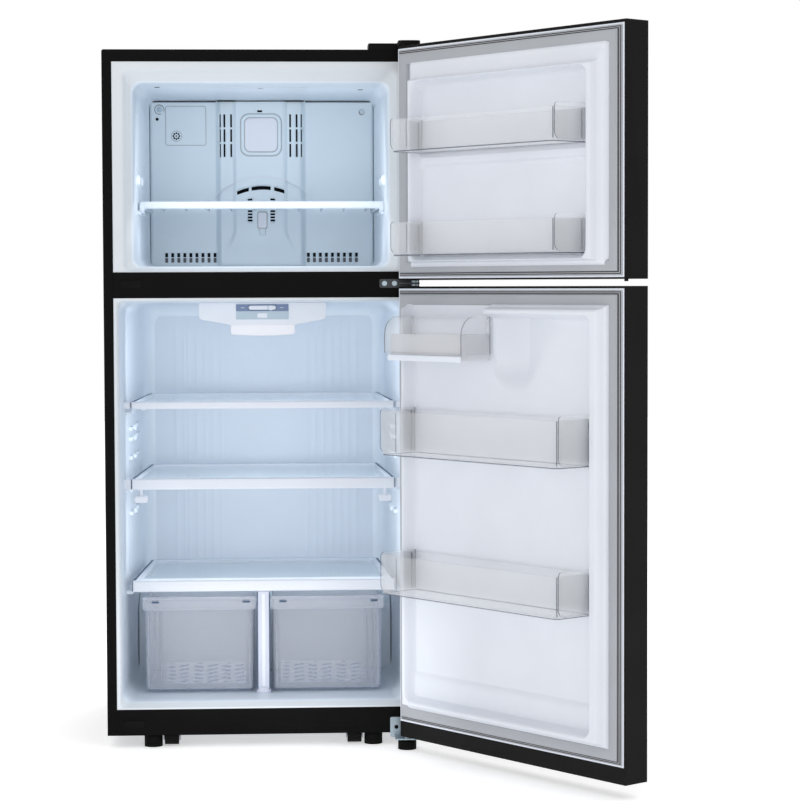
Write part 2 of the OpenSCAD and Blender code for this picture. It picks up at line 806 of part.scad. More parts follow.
// Temperature control knob, sliding along X in the window
module temperature_slider() {
    color([0.95, 0.95, 0.96]) {
        bar_y(knob_x, housing_y - 5, housing_y + 0.8, knob_z, 6);
        block(knob_x - 4, knob_x + 4, housing_y, housing_y + 5, knob_z - 2.6, knob_z + 2.6);
        block(knob_x - 8, knob_x + 8, housing_y + 3.4, housing_y + 5.4, knob_z - 6, knob_z + 6);
    }
}

// Shelf frame: front trim, side rails and a rear rail round the glass
module shelf_frame(x0, x1, z, trim_h, trim_over) {
    y0 = shelf_y;
    y1 = cavity_y - 14;
    bx0 = fridge_back_x[0] + 4;
    bx1 = fridge_back_x[1] - 4;
    rail = 14;
    front_plate(x0, x1, y0, y0 + 14, z - trim_h, z + trim_over, 3.5);
    difference() {
        plan_prism([[x0 + 6, y0 + 10], [x1 - 6, y0 + 10], [bx1, y1], [bx0, y1]], z - 12, z);
        plan_prism([[x0 + rail + 6, y0 + rail], [x1 - rail - 6, y0 + rail],
                    [bx1 - rail, y1 - rail], [bx0 + rail, y1 - rail]], z - 13, z + 1);
        glass_bed(x0, x1, y1, z);
    }
    for (x = [bx0 + 3, bx1 - 13])
        block(x, x + 10, y0 + 26, y1 - 4, z - 21.7, z - 11);
}

// Space that the glass fills inside a shelf frame
module glass_bed(x0, x1, y1, z) {
    rail = 9;
    plan_prism([[x0 + rail + 6, shelf_y + 14], [x1 - rail - 6, shelf_y + 14],
                [fridge_back_x[1] - 4 - rail, y1 - rail], [fridge_back_x[0] + 4 + rail, y1 - rail]],
               z - glass_t, z + 1);
}

module shelf_glass(x0, x1, z) {
    y1 = cavity_y - 14;
    rail = 9.2;
    plan_prism([[x0 + rail + 6, shelf_y + 14.2], [x1 - rail - 6, shelf_y + 14.2],
                [fridge_back_x[1] - 4 - rail, y1 - rail], [fridge_back_x[0] + 4 + rail, y1 - rail]],
               z - glass_t, z - 0.2);
}

upper_x = [-686, -42];
middle_x = [-700, -36];
post_x = -366;

module upper_shelf_frame() {
    color([0.93, 0.95, 0.97])
        shelf_frame(upper_x[0], upper_x[1], upper_shelf_z, 16, 1);
}

module upper_shelf_glass() {
    color([0.75, 0.88, 0.90, 0.5])
        shelf_glass(upper_x[0], upper_x[1], upper_shelf_z);
}

module middle_shelf_frame() {
    color([0.93, 0.95, 0.97])
        shelf_frame(middle_x[0], middle_x[1], middle_shelf_z, 25, 2);
}

module middle_shelf_glass() {
    color([0.75, 0.88, 0.90, 0.5])
        shelf_glass(middle_x[0], middle_x[1], middle_shelf_z);
}

// Crisper cover: wide front trim, side rails and rear rail with runner lips
module crisper_frame() {
    x0 = upper_x[0];
    x1 = upper_x[1];
    y1 = crisper_back_y;
    z = crisper_z;
    color([0.93, 0.95, 0.97]) {
        front_plate(x0, x1, shelf_y, shelf_y + 16, z - 27, z + 1, 3.5);
        difference() {
            plan_prism([[x0 + 6, shelf_y + 12], [x1 - 6, shelf_y + 12], [-50, y1], [-678, y1]], z - 12, z);
            plan_prism([[x0 + 28, shelf_y + 50], [x1 - 28, shelf_y + 50], [-70, y1 - 20], [-658, y1 - 20]],
                       z - 13, z + 1);
            plan_prism([[x0 + 20, shelf_y + 42], [x1 - 20, shelf_y + 42], [-62, y1 - 12], [-666, y1 - 12]],
                       z - glass_t, z + 1);
        }
        for (x = [-676, -62])
            block(x, x + 10, shelf_y + 14, y1 - 6, z - 23.7, z - 11);
    }
}

module crisper_glass() {
    x0 = upper_x[0];
    x1 = upper_x[1];
    y1 = crisper_back_y;
    color([0.75, 0.88, 0.90, 0.5])
        plan_prism([[x0 + 20.2, shelf_y + 42.2], [x1 - 20.2, shelf_y + 42.2],
                    [-62.2, y1 - 12.2], [-665.8, y1 - 12.2]], crisper_z - glass_t, crisper_z - 0.2);
}

// Post and rail between the drawers, standing on the fridge floor
module crisper_post() {
    color([0.92, 0.94, 0.97]) {
        front_plate(post_x - 14, post_x + 14, shelf_y + 2, shelf_y + 16, fridge_z0, crisper_z - 27.2, 5);
        block(post_x - 3, post_x + 3, shelf_y + 14, machine_y - 62, fridge_z0, crisper_z - 27.2);
        block(post_x - 12, post_x + 12, shelf_y + 14, machine_y - 62, crisper_z - 31, crisper_z - 27.2);
    }
}

// Clear drawer: thin tub with a front lip, a handle band and corner ribs
module drawer(x0, x1) {
    z0 = fridge_z0 + 6;
    z1 = crisper_z - 33;
    y0 = shelf_y + 4;
    y1 = machine_y - 66;
    wall = 2.6;
    color([0.80, 0.88, 0.93, 0.6])
        difference() {
            union() {
                side_prism([[y0 + 10, z0], [y0 + 2, z0 + 20], [y0 + 2, z1 - 14], [y1, z1 - 14], [y1, z0]],
                           x0 + 4, x1 - 4);
                front_plate(x0, x1, y0 - 8, y0 + 6, z1 - 44, z1 - 6, 6);
                block(x0 + 4, x1 - 4, y0 + 2, y1, z1 - 20, z1 - 12);
                for (x = [x0 + 20, x1 - 26])
                    block(x, x + 6, y0 + 18, y1 - 4, fridge_z0 + 0.4, z0 + 1);
            }
            side_prism([[y0 + 10 + wall, z0 + wall], [y0 + 2 + wall, z0 + 20 + wall], [y0 + 2 + wall, z1 + 5],
                        [y1 - wall, z1 + 5], [y1 - wall, z0 + wall]], x0 + 4 + wall, x1 - 4 - wall);
            front_plate(x0 + 20, x1 - 20, y0 - 5, y0 + 2, z1 - 46, z1 - 16, 5);
        }
}

module drawer_left() {
    drawer(-662, post_x - 19);
}

module drawer_right() {
    drawer(post_x + 17, -70);
}

// -------------------------------------------------------------- feet, rollers

// Levelling foot: round pad, nut and threaded stud
module levelling_foot(x, y, pad_h, top) {
    color([0.08, 0.08, 0.085]) {
        bar_z(x, y, 0, pad_h, foot_r);
        bar_z(x, y, pad_h - 0.5, pad_h + 2.5, foot_r / 2);
        bar_z(x, y, pad_h, top, stud_r);
    }
}

module foot_left() {
    levelling_foot(left_foot_x, front_leg_y, front_pad_h, case_z + 20);
}

module foot_right() {
    levelling_foot(right_foot_x, front_leg_y, front_pad_h, case_z + 20);
}

module foot_hinge() {
    levelling_foot(foot_x, 0, hinge_pad_h, base_arm_z + 6);
}

// Solid wheel with a bore for the fixed axle
module front_roller(x) {
    color([0.07, 0.07, 0.075])
        difference() {
            bar_x(x - roller_w / 2, x + roller_w / 2, front_leg_y, front_roller_r + front_roller_gap,
                  front_roller_r);
            bar_x(x - roller_w, x + roller_w, front_leg_y, front_roller_r + front_roller_gap,
                  axle_r + 0.05);
        }
}

module roller_left() {
    front_roller(left_roller_x);
}

module roller_right() {
    front_roller(right_roller_x);
}

// Rear wheels on one turning shaft
module rear_rollers() {
    color([0.07, 0.07, 0.075]) {
        for (x = rear_roller_xs)
            bar_x(x - rear_roller_w / 2, x + rear_roller_w / 2, rear_roller_y, rear_roller_r, rear_roller_r);
        bar_x(rear_roller_xs[0] - 22, rear_roller_xs[1] + 22, rear_roller_y, rear_roller_r, axle_r);
    }
}

// ----------------------------------------------------------------------- doors

// Raised inner panel of a door, tapered so that it clears the opening.
// mouth, throat and crest are the [low, high] edges at rising distances.
module raised_panel(mouth_x, throat_x, crest_x, mouth_z, throat_z, crest_z, g) {
    steps = [door_in - 2, door_in + 20, door_in + 39 - g];
    plan = [[mouth_x[0] + g, steps[0]], [throat_x[0] + g, steps[1]], [crest_x[0] + g, steps[2]],
            [crest_x[1] - g, steps[2]], [throat_x[1] - g, steps[1]], [mouth_x[1] - g, steps[0]]];
    side = [[steps[0], mouth_z[0] + g], [steps[1], throat_z[0] + g], [steps[2], crest_z[0] + g],
            [steps[2], crest_z[1] - g], [steps[1], throat_z[1] - g], [steps[0], mouth_z[1] - g]];
    intersection() {
        plan_prism(plan, mouth_z[0] - 5, mouth_z[1] + 5);
        side_prism(side, mouth_x[0] - 5, mouth_x[1] + 5);
    }
}

// Hollow inside the raised panel where the bins sit
module panel_pocket(low_x, high_x, low_z, high_z, g) {
    y0 = door_in + 8 - g;
    y1 = door_in + 45;
    rise = 9;
    plan = [[low_x[0] - g, y0], [high_x[0] - g, y1], [high_x[1] + g, y1], [low_x[1] + g, y0]];
    side = [[y0, low_z[0] - g], [y1, low_z[0] - g - rise], [y1, low_z[1] + g + rise], [y0, low_z[1] + g]];
    intersection() {
        plan_prism(plan, low_z[0] - 40, high_z + 40);
        side_prism(side, low_x[0] - 40, low_x[1] + 40);
    }
}

module freezer_plateau(g) {
    raised_panel([-706, -26], [-668, -64], [-662, -68], [1146, 1650], [1166, 1590], [1168, 1588], g);
}

module fridge_plateau(g) {
    raised_panel([-704, -30], [-698, -32], [-688, -38], [100, 1074], [116, 1064], [122, 1058], g);
}

// Freezer door's panel, grown inward by g
module freezer_panel(g) {
    difference() {
        freezer_plateau(g);
        panel_pocket([-640, -80], [-650, -75], [1174, 1578], 1578, g);
    }
}

// Fridge door's panel, grown inward by g
module fridge_panel(g) {
    difference() {
        fridge_plateau(g);
        panel_pocket([-660, -50], [-668, -45], [136, 1082], 1082, g);
    }
}

// Steel door skin: outer face, four edges and a folded lip on the inner face
module door_skin(z0, z1, bottom_lip) {
    difference() {
        block(door_x0, door_x1, -door_out, door_in, z0, z1);
        block(door_x0 + sheet, door_x1 - sheet, -door_out + sheet, door_in - sheet, z0 + sheet, z1 - sheet);
        block(door_x0 + lip_w, door_x1 - lip_w, 0, door_in + 1, z0 + bottom_lip, z1 - lip_w);
        children();
    }
}

// Pocket grip cut into a door edge near the latch side
module grip_pocket(z0, z1, g) {
    block(door_x0 + 40 - g, door_x0 + 40 + grip_w + g, -door_out + 8 - g, -door_out + grip_d + g, z0 - g, z1 + g);
}

// Bore for a hinge pin, open at one edge of the door
module pin_bore(z0, z1, r) {
    bar_z(0, 0, z0, z1, r);
}

freezer_foam_z = [freezer_door_z0 + sheet, freezer_door_z1 - sheet];
fridge_foam_z = [fridge_door_z0 + sheet, fridge_door_z1 - sheet];

module freezer_door_skin() {
    color([0.07, 0.07, 0.075])
        in_door()
            door_skin(freezer_door_z0, freezer_door_z1, lip_w) {
                grip_pocket(freezer_door_z0 - 1, freezer_door_z0 + sheet + 1, 0);
                pin_bore(freezer_door_z0 - 1, freezer_door_z0 + 3, bore_r);
                pin_bore(freezer_door_z1 - 3, freezer_door_z1 + 1, bore_r);
            }
}

module fridge_door_skin() {
    color([0.07, 0.07, 0.075])
        in_door()
            door_skin(fridge_door_z0, fridge_door_z1, cap_h) {
                grip_pocket(fridge_door_z1 - sheet - 1, fridge_door_z1 + 1, 0);
                pin_bore(fridge_door_z0 - 1, fridge_door_z0 + 3, bore_r);
                pin_bore(fridge_door_z1 - 3, fridge_door_z1 + 1, bore_r);
            }
}

// Sheet that closes a door's inner side round its raised panel
module liner_sheet(z0, z1, bottom_lip) {
    block(door_x0 + lip_w, door_x1 - lip_w, door_in - 2, door_in, z0 + bottom_lip, z1 - lip_w);
}

module freezer_door_liner() {
    color([0.90, 0.90, 0.95])
        in_door()
            difference() {
                union() {
                    liner_sheet(freezer_door_z0, freezer_door_z1, lip_w);
                    freezer_panel(0);
                }
                freezer_panel(liner_t);
            }
}

module fridge_door_liner() {
    color([0.90, 0.90, 0.95])
        in_door()
            difference() {
                union() {
                    liner_sheet(fridge_door_z0, fridge_door_z1, cap_h);
                    fridge_panel(0);
                }
                fridge_panel(liner_t);
            }
}

module freezer_door_foam() {
    color([0.93, 0.87, 0.62])
        in_door()
            difference() {
                union() {
                    block(door_x0 + sheet, door_x1 - sheet, -door_out + sheet, door_in - 2,
                          freezer_foam_z[0], freezer_foam_z[1]);
                    freezer_panel(liner_t);
                }
                grip_pocket(freezer_door_z0, freezer_door_z0 + grip_h, 0);
                pin_bore(freezer_door_z0, freezer_door_z0 + pin_depth + 3, bore_r);
                pin_bore(freezer_door_z1 - pin_depth - 3, freezer_door_z1, bore_r);
            }
}

module fridge_door_foam() {
    color([0.93, 0.87, 0.62])
        in_door()
            difference() {
                union() {
                    block(door_x0 + sheet, door_x1 - sheet, -door_out + sheet, door_in - 2,
                          fridge_foam_z[0], fridge_foam_z[1]);
                    fridge_panel(liner_t);
                }
                grip_pocket(fridge_door_z1 - grip_h, fridge_door_z1, 0);
                pin_bore(fridge_door_z0, fridge_door_z0 + pin_depth + 3, bore_r);
                pin_bore(fridge_door_z1 - pin_depth - 3, fridge_door_z1, bore_r);
            }
}

// Magnetic gasket: a flat base with a raised bulb, as one ring
module gasket_ring(z0, z1) {
    profile = [[0, 0, 3], [5, 3, 9], [9, 9, gasket_t]];
    for (p = profile)
        difference() {
            block(free_gasket_x + p[0], hinge_gasket_x - p[0], door_in + p[1], door_in + p[2],
                  z0 + p[0], z1 - p[0]);
            block(free_gasket_x + gasket_w - p[0] / 2, hinge_gasket_x - gasket_w + p[0] / 2,
                  door_in - 1, door_in + gasket_t + 1, z0 + gasket_w - p[0] / 2, z1 - gasket_w + p[0] / 2);
        }
}

module freezer_door_gasket() {
    color([0.80, 0.81, 0.83])
        in_door()
            difference() {
                gasket_ring(freezer_door_z0 + 4, freezer_door_z1 - 4);
                freezer_plateau(-0.4);
            }
}

module fridge_door_gasket() {
    color([0.80, 0.81, 0.83])
        in_door()
            difference() {
                gasket_ring(fridge_door_z0 + cap_h, fridge_door_z1 - 4);
                fridge_plateau(-0.4);
            }
}

// Open-topped door bin with round front corners and a lip
module door_bin(x0, x1, y0, y1, z0, z1) {
    r = 16;
    difference() {
        union() {
            bin_outline(x0, x1, y0, y1, z0, z1, r);
            bin_outline(x0 - 1.5, x1 + 1.5, y0, y1 + 1.5, z1 - 5, z1, r + 1.5);
        }
        bin_outline(x0 + bin_wall, x1 - bin_wall, y0 + bin_wall, y1 - bin_wall, z0 + bin_wall, z1 + 1,
                    r - bin_wall);
    }
}

// Solid with two round corners at the front and square ones against the door
module bin_outline(x0, x1, y0, y1, z0, z1, r) {
    translate([0, 0, z0])
        linear_extrude(height = z1 - z0) {
            translate([x0, y0])
                square([x1 - x0, y1 - y0 - r]);
            translate([x0 + r, y0])
                square([x1 - x0 - 2 * r, y1 - y0]);
            for (x = [x0 + r, x1 - r])
                translate([x, y1 - r])
                    circle(r);
        }
}

pocket_y = door_in + 8.4;
freezer_bin_x = [-634, -82];
freezer_bin_y = 150;
fridge_bin_x = [-656, -53];
fridge_bin_y = 160;

module freezer_bin_upper() {
    color([0.82, 0.88, 0.92, 0.6])
        in_door()
            door_bin(freezer_bin_x[0], freezer_bin_x[1], pocket_y, freezer_bin_y, 1419, 1495);
}

module freezer_bin_lower() {
    color([0.82, 0.88, 0.92, 0.6])
        in_door()
            door_bin(freezer_bin_x[0], freezer_bin_x[1], pocket_y, freezer_bin_y, 1180, 1257);
}

module fridge_bin_upper() {
    color([0.82, 0.88, 0.92, 0.6])
        in_door()
            door_bin(fridge_bin_x[0], fridge_bin_x[1], pocket_y, fridge_bin_y, 717, 822);
}

module fridge_bin_lower() {
    color([0.82, 0.88, 0.92, 0.6])
        in_door()
            door_bin(fridge_bin_x[0], fridge_bin_x[1], pocket_y, fridge_bin_y, 392, 486);
}

dairy_x = [-318, -57];
dairy_y = 132;
dairy_z = [938, 1000];

dairy_wall = 3;
lid_gap = 5;
lid_t = 2.2;
lid_pivot = [53, 1036];
lid_pin_r = 2.5;

// Dairy bin with round front corners and two ears that carry the lid's pins
module dairy_bin() {
    ear_r = 3.2;
    color([0.88, 0.90, 0.94])
        in_door() {
            door_bin(dairy_x[0], dairy_x[1], pocket_y, dairy_y, dairy_z[0], dairy_z[1]);
            for (x = [dairy_x[0], dairy_x[1] - dairy_wall]) {
                block(x, x + dairy_wall, lid_pivot[0] - ear_r, lid_pivot[0] + ear_r,
                      dairy_z[1] - 6, lid_pivot[1]);
                bar_x(x, x + dairy_wall, lid_pivot[0], lid_pivot[1], ear_r);
            }
            bar_x(dairy_x[0] - lid_gap + 0.4, dairy_x[0] + 1, lid_pivot[0], lid_pivot[1], lid_pin_r);
            bar_x(dairy_x[1] - 1, dairy_x[1] + lid_gap - 0.4, lid_pivot[0], lid_pivot[1], lid_pin_r);
        }
}

// Curved lid over the dairy bin, hinged at the door
module dairy_lid() {
    lid_x = [dairy_x[0] - lid_gap, dairy_x[1] + lid_gap];
    color([0.84, 0.90, 0.94, 0.5])
        in_door()
            difference() {
                lid_shell(lid_x[0], lid_x[1], 0);
                lid_shell(lid_x[0] + lid_t, lid_x[1] - lid_t, lid_t);
                bar_x(lid_x[0] - 1, lid_x[1] + 1, lid_pivot[0], lid_pivot[1], lid_pin_r + 0.05);
            }
}

// Hood with a flat top, a round shoulder and an upright front, open below and
// behind, drawn smaller by g on its outer faces
module lid_shell(x0, x1, g) {
    shoulder_r = 42;
    y0 = pocket_y + 4 - g;
    y1 = dairy_y + lid_gap - g;
    z0 = dairy_z[0] + 18 - g;
    z1 = lid_pivot[1] + 6 - g;
    block(x0, x1, y0, y1 - shoulder_r, z0, z1);
    block(x0, x1, y0, y1, z0, z1 - shoulder_r);
    bar_x(x0, x1, y1 - shoulder_r, z1 - shoulder_r, shoulder_r);
}

// ------------------------------------------------------------------- assembly

outer_case();
rear_panel();
foam_insulation();
freezer_liner();
fridge_liner();
mullion_rail();
bottom_rail();
base_frame();
top_hinge();
top_hinge_cover();
middle_hinge();
bottom_hinge();
screws();
hole_caps();
machine_cover();
compressor();
condenser();
condenser_fan_motor();
condenser_fan_blade();
drain_pan();
evaporator();
evaporator_fan_motor();
evaporator_fan_blade();
freezer_rear_cover();
air_cap();
freezer_slider();
freezer_shelf();
control_housing();
light_lens();
temperature_slider();
upper_shelf_frame();
upper_shelf_glass();
middle_shelf_frame();
middle_shelf_glass();
crisper_frame();
crisper_glass();
crisper_post();
drawer_left();
drawer_right();
foot_left();
foot_right();
foot_hinge();
roller_left();
roller_right();
rear_rollers();
freezer_door_skin();
freezer_door_liner();
freezer_door_foam();
freezer_door_gasket();
freezer_bin_upper();
freezer_bin_lower();
fridge_door_skin();
fridge_door_liner();
fridge_door_foam();
fridge_door_gasket();
dairy_bin();
dairy_lid();
fridge_bin_upper();
fridge_bin_lower();
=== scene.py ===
"""Looks of a top freezer refrigerator with both doors standing open.

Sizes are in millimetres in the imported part's frame: the doors' hinge axis is
the Z axis, the floor is Z = 0 and the front faces -Y. Door pieces are drawn
closed and then turned to the rest angle.
"""

import math

import bpy
from mathutils import Matrix, Vector


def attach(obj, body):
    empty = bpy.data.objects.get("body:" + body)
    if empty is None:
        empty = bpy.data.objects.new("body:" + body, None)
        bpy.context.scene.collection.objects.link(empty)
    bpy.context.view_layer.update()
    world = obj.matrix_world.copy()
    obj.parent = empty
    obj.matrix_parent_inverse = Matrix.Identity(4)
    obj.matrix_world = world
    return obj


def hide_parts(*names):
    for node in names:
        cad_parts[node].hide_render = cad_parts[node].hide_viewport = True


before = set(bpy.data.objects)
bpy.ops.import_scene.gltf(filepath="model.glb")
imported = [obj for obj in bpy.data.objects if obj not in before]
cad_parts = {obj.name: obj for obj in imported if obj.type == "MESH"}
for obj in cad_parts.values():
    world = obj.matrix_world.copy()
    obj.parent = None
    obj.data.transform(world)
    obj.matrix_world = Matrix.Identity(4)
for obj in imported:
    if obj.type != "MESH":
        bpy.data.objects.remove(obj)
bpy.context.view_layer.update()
scene = bpy.context.scene

# The two angles are in degrees. The camera's place is in metres, its turns are in degrees.
MM = 0.001
CREASE = 38
REST_ANGLE = 127
SIDE_X = (-742, 14)
OPEN_X = (-718.5, -9.5)
CASE_Z = (30, 1676)
FRONT_Y = 49
BACK_Y = 769
TOP_FLANGE_Z = 1647
SHEET = 1.2
COVER_Y = 599
CAVITY_Y = 699
VENT_X = -364
DOOR_IN = 37
FREEZER_DOOR_Z = (1125, 1678)
FRIDGE_DOOR_Z = (32, 1110)
LINER_SHEET = 1.6
SHELF_X = (-686, -42)
SHELF_FRONT_Y = 167
TUB_WALL = 2.6
BIN_BACK_Y = 45.4
HOOD_BACK_Y = 49.4
HOOD_LOW_Z = 956
PLUG_AT = (-632, 1573)
COVER_SCREW_AT = (-104, 1566)
ROSE_AT = (-588, 1504)
CAMERA_AT = (-0.3251, -5.6891, 1.1145)
CAMERA_TURN = (2.909, 2.779, -0.202)
CAMERA_LENS = 107.32


# -------- materials


def add_node(tree, kind, source=None, inlet="", **values):
    """New shader node, fed from a socket. An underscore in a name stands for a space."""
    node = tree.nodes.new("ShaderNode" + kind)
    for name, value in values.items():
        node.inputs[name.replace("_", " ")].default_value = value
    if source:
        tree.links.new(source, node.inputs[inlet])
    return node


def shader(name, color, rough, metal=0.0, mottle=0.02, grain=0.0, grain_size=1.2, coat=0.0, clear=None,
           shine=0.5):
    """Principled material whose colour, gloss and surface vary a little.

    mottle is the share by which the colour varies, grain is the depth of the
    surface texture in mm and grain_size its pitch. clear is (facing, edge)
    opacity for see-through pieces.
    """
    mat = bpy.data.materials.new(name)
    mat.use_nodes = True
    tree = mat.node_tree
    inputs = tree.nodes["Principled BSDF"].inputs
    inputs["Metallic"].default_value = metal
    inputs["Coat Weight"].default_value = coat
    inputs["Specular IOR Level"].default_value = shine
    place = add_node(tree, "TexCoord").outputs["Object"]
    add_mottle(tree, place, inputs, color, rough, mottle)
    if grain:
        add_grain(tree, place, inputs, grain, grain_size)
    if clear:
        add_opacity(tree, inputs, *clear)
    return mat


def add_mottle(tree, place, inputs, color, rough, mottle):
    """Colour and gloss that drift slowly across the surface."""
    broad = add_node(tree, "TexNoise", place, "Vector", Scale=7, Detail=4).outputs["Fac"]
    ramp = add_node(tree, "ValToRGB", broad, "Fac")
    for end, position, share in zip(ramp.color_ramp.elements, (0.3, 0.7), (1 - mottle, 1 + mottle)):
        end.position = position
        end.color = (*[min(1, c * share) for c in color], 1)
    tree.links.new(ramp.outputs["Color"], inputs["Base Color"])
    gloss = add_node(tree, "MapRange", broad, "Value", To_Min=rough * 0.88, To_Max=min(1, rough * 1.12))
    tree.links.new(gloss.outputs["Result"], inputs["Roughness"])


def add_grain(tree, place, inputs, depth, pitch):
    """Fine bumps of a depth and pitch in mm."""
    fine = add_node(tree, "TexNoise", place, "Vector", Scale=1 / (pitch * MM), Detail=2).outputs["Fac"]
    bump = add_node(tree, "Bump", fine, "Height", Strength=0.5, Distance=depth * MM)
    tree.links.new(bump.outputs["Normal"], inputs["Normal"])


def add_opacity(tree, inputs, facing, edge):
    """Opacity that rises where the surface turns away from the view."""
    slant = add_node(tree, "LayerWeight", Blend=0.35).outputs["Facing"]
    opacity = add_node(tree, "MapRange", slant, "Value", To_Min=facing, To_Max=edge)
    tree.links.new(opacity.outputs["Result"], inputs["Alpha"])


BLACK = shader("black_paint", (0.003, 0.0029, 0.003), 0.34, mottle=0.15, grain=0.05, grain_size=1.6,
               shine=0.06)
# The doors' skins: the cabinet's black paint in a lighter copy, painted light for the brighter look of the
# doors.
LIT_DOOR_PAINT = shader("lit_door_paint", (0.009, 0.0087, 0.0088), 0.34, mottle=0.12, grain=0.05, grain_size=1.6,
                    shine=0.06)
BLACK_PLASTIC = shader("black_plastic", (0.004, 0.004, 0.0043), 0.5, mottle=0.1, grain=0.04, shine=0.08)
CAP_PLASTIC = shader("cap_plastic", (0.0038, 0.0038, 0.004), 0.42, mottle=0.1, grain=0.03, shine=0.07)
DARK_PANEL = shader("dark_panel", (0.014, 0.014, 0.016), 0.55, mottle=0.15, grain=0.08, grain_size=2.2,
                    shine=0.2)
# The liner's inside and its mouth are one plastic in two copies: the inside lighter, painted light against
# the cavity's shade, and the mouth darker, painted shade against the fuller light at the opening.
LINER = shader("ice_blue_liner", (0.755, 0.832, 0.915), 0.34, grain=0.02, grain_size=3)
MOUTH = shader("white_liner_mouth", (0.7, 0.745, 0.79), 0.36, grain=0.02, grain_size=3)
COVER = shader("pale_blue_cover", (0.72, 0.825, 0.9), 0.4, grain=0.03, grain_size=1.5)
# The fridge's rear wall: a darker copy of the liner's colour, painted shade.
BACK_WALL_SHADE = shader("back_wall_shade", (0.69, 0.76, 0.85), 0.4, grain=0.02, grain_size=3)
FROST = shader("frosted_blue", (0.6, 0.67, 0.75), 0.3, grain=0.02)
WHITE = shader("white_plastic", (0.78, 0.82, 0.9), 0.33, grain=0.02)
LAVENDER = shader("lavender_plastic", (0.62, 0.66, 0.78), 0.33, grain=0.02)
DOOR_LINER = shader("door_liner", (0.755, 0.785, 0.85), 0.36, grain=0.02, grain_size=3)
# The gasket's own grey; it is also used for painted shade: the outlines round the access plate, the cover
# screw and the grille, the shadow under the slider, and the shade round the air cap and in its crease.
GASKET = shader("grey_gasket", (0.41, 0.425, 0.455), 0.62, mottle=0.03, grain=0.05, grain_size=0.8)
# Painted shade: dark grey for the gasket's grooves, the ring round the cover plug, the seat round the cover
# screw and the grille's hub; it also colours the ledge behind the low vents.
GROOVE_SHADE = shader("groove_shade_grey", (0.12, 0.12, 0.13), 0.7, mottle=0.05, grain=0.03)
GLASS = shader("shelf_glass", (0.66, 0.78, 0.86), 0.06, clear=(0.12, 0.6))
CLEAR = shader("clear_plastic", (0.92, 0.94, 0.98), 0.12, clear=(0.08, 0.38))
# Painted shade for the fine edges of the clear bins and the dairy hood.
CLEAR_EDGE_SHADE = shader("clear_edge_shade", (0.1, 0.11, 0.14), 0.2, mottle=0.05, clear=(0.72, 1.0))
DRAWER = shader("drawer_plastic", (0.82, 0.87, 0.99), 0.16, clear=(0.2, 0.6))
# Painted shade for the drawers' edges, rib sides and the dashes along the wave crests.
DRAWER_EDGE_SHADE = shader("drawer_edge_shade", (0.27, 0.33, 0.46), 0.2, mottle=0.04, clear=(0.5, 0.9))
DAIRY = shader("dairy_plastic", (0.9, 0.91, 0.95), 0.3, grain=0.02, clear=(0.25, 0.6))
ZINC = shader("zinc_plate", (0.42, 0.5, 0.56), 0.36, metal=1, mottle=0.18, grain=0.03, grain_size=0.9)
STEEL = shader("frame_steel", (0.4, 0.42, 0.45), 0.42, metal=1, mottle=0.15, grain=0.04)
DARK_STEEL = shader("dark_steel", (0.075, 0.08, 0.085), 0.45, metal=1, mottle=0.15, grain=0.03)
ALUMINIUM = shader("aluminium", (0.78, 0.8, 0.82), 0.35, metal=1, mottle=0.08, grain=0.03)
RUBBER = shader("black_rubber", (0.004, 0.004, 0.004), 0.7, mottle=0.1, grain=0.08, grain_size=1.1,
                shine=0.08)
MOTOR = shader("motor_grey", (0.05, 0.052, 0.058), 0.5, mottle=0.1, grain=0.05)
FAN = shader("fan_plastic", (0.1, 0.1, 0.11), 0.4, mottle=0.06, grain=0.02)
WINDOW = shader("window_blue", (0.135, 0.2, 0.36), 0.25, mottle=0.04, coat=0.4)
PANEL = shader("window_panel", (0.46, 0.57, 0.66), 0.3, mottle=0.03)
# Painted shade: near-black for the sheet behind the vent slots, the lines along the cover's and duct's tops
# and the grille's holes; it also colours the ceiling marks and the cover pin.
SLOT_DARK = shader("vent_shadow", (0.012, 0.014, 0.018), 0.8, mottle=0.1, shine=0.1)
# Dark blue-grey painted shade for lines along the shelves' sides and ends, round the window slot and beside
# the crisper post; it also colours the drawer tabs and the post's shoe.
SHADE_BLUE = shader("painted_shade_and_trim_blue", (0.05, 0.09, 0.16), 0.5, mottle=0.08)
LENS = shader("lamp_lens", (0.86, 0.87, 0.92), 0.3, clear=(0.86, 0.97))
FLOOR = shader("pale_floor", (0.97, 0.97, 0.97), 0.75, mottle=0.004, shine=0.1)


# -------- mesh builders


def build(name, verts, faces, mats, indices=None, angle=CREASE):
    """Mesh object from points in mm, smooth except across sharp edges."""
    mesh = bpy.data.meshes.new(name)
    mesh.from_pydata([(x * MM, y * MM, z * MM) for x, y, z in verts], [], faces)
    for mat in mats:
        mesh.materials.append(mat)
    if indices:
        mesh.polygons.foreach_set("material_index", indices)
    mesh.validate()
    mesh.shade_smooth()
    mesh.set_sharp_from_angle(angle=math.radians(angle))
    obj = bpy.data.objects.new(name, mesh)
    scene.collection.objects.link(obj)
    return obj


def fit(obj, body, slot, *nodes, door=False, bevel=0.0, segments=3):
    """Finishes a piece: its door angle, edge rounding, body and nodes. The slot is not used."""
    if door:
        obj.data.transform(Matrix.Rotation(math.radians(REST_ANGLE), 4, "Z"))
    if bevel:
        round_edges(obj, bevel, segments)
    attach(obj, body)
    if nodes:
        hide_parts(*nodes)


def round_edges(obj, width, segments=3):
    """Rounds the sharp edges over a width in mm."""
    mod = obj.modifiers.new("round", "BEVEL")
    mod.width = width * MM
    mod.segments = segments
    mod.limit_method = "ANGLE"
    mod.angle_limit = math.radians(CREASE)
    mod.harden_normals = True


def join(objects, name):
    """One object out of several that share a material order."""
    bpy.ops.object.select_all(action="DESELECT")
    for obj in objects:
        obj.select_set(True)
    bpy.context.view_layer.objects.active = objects[0]
    bpy.ops.object.join()
    objects[0].name = name
    return objects[0]


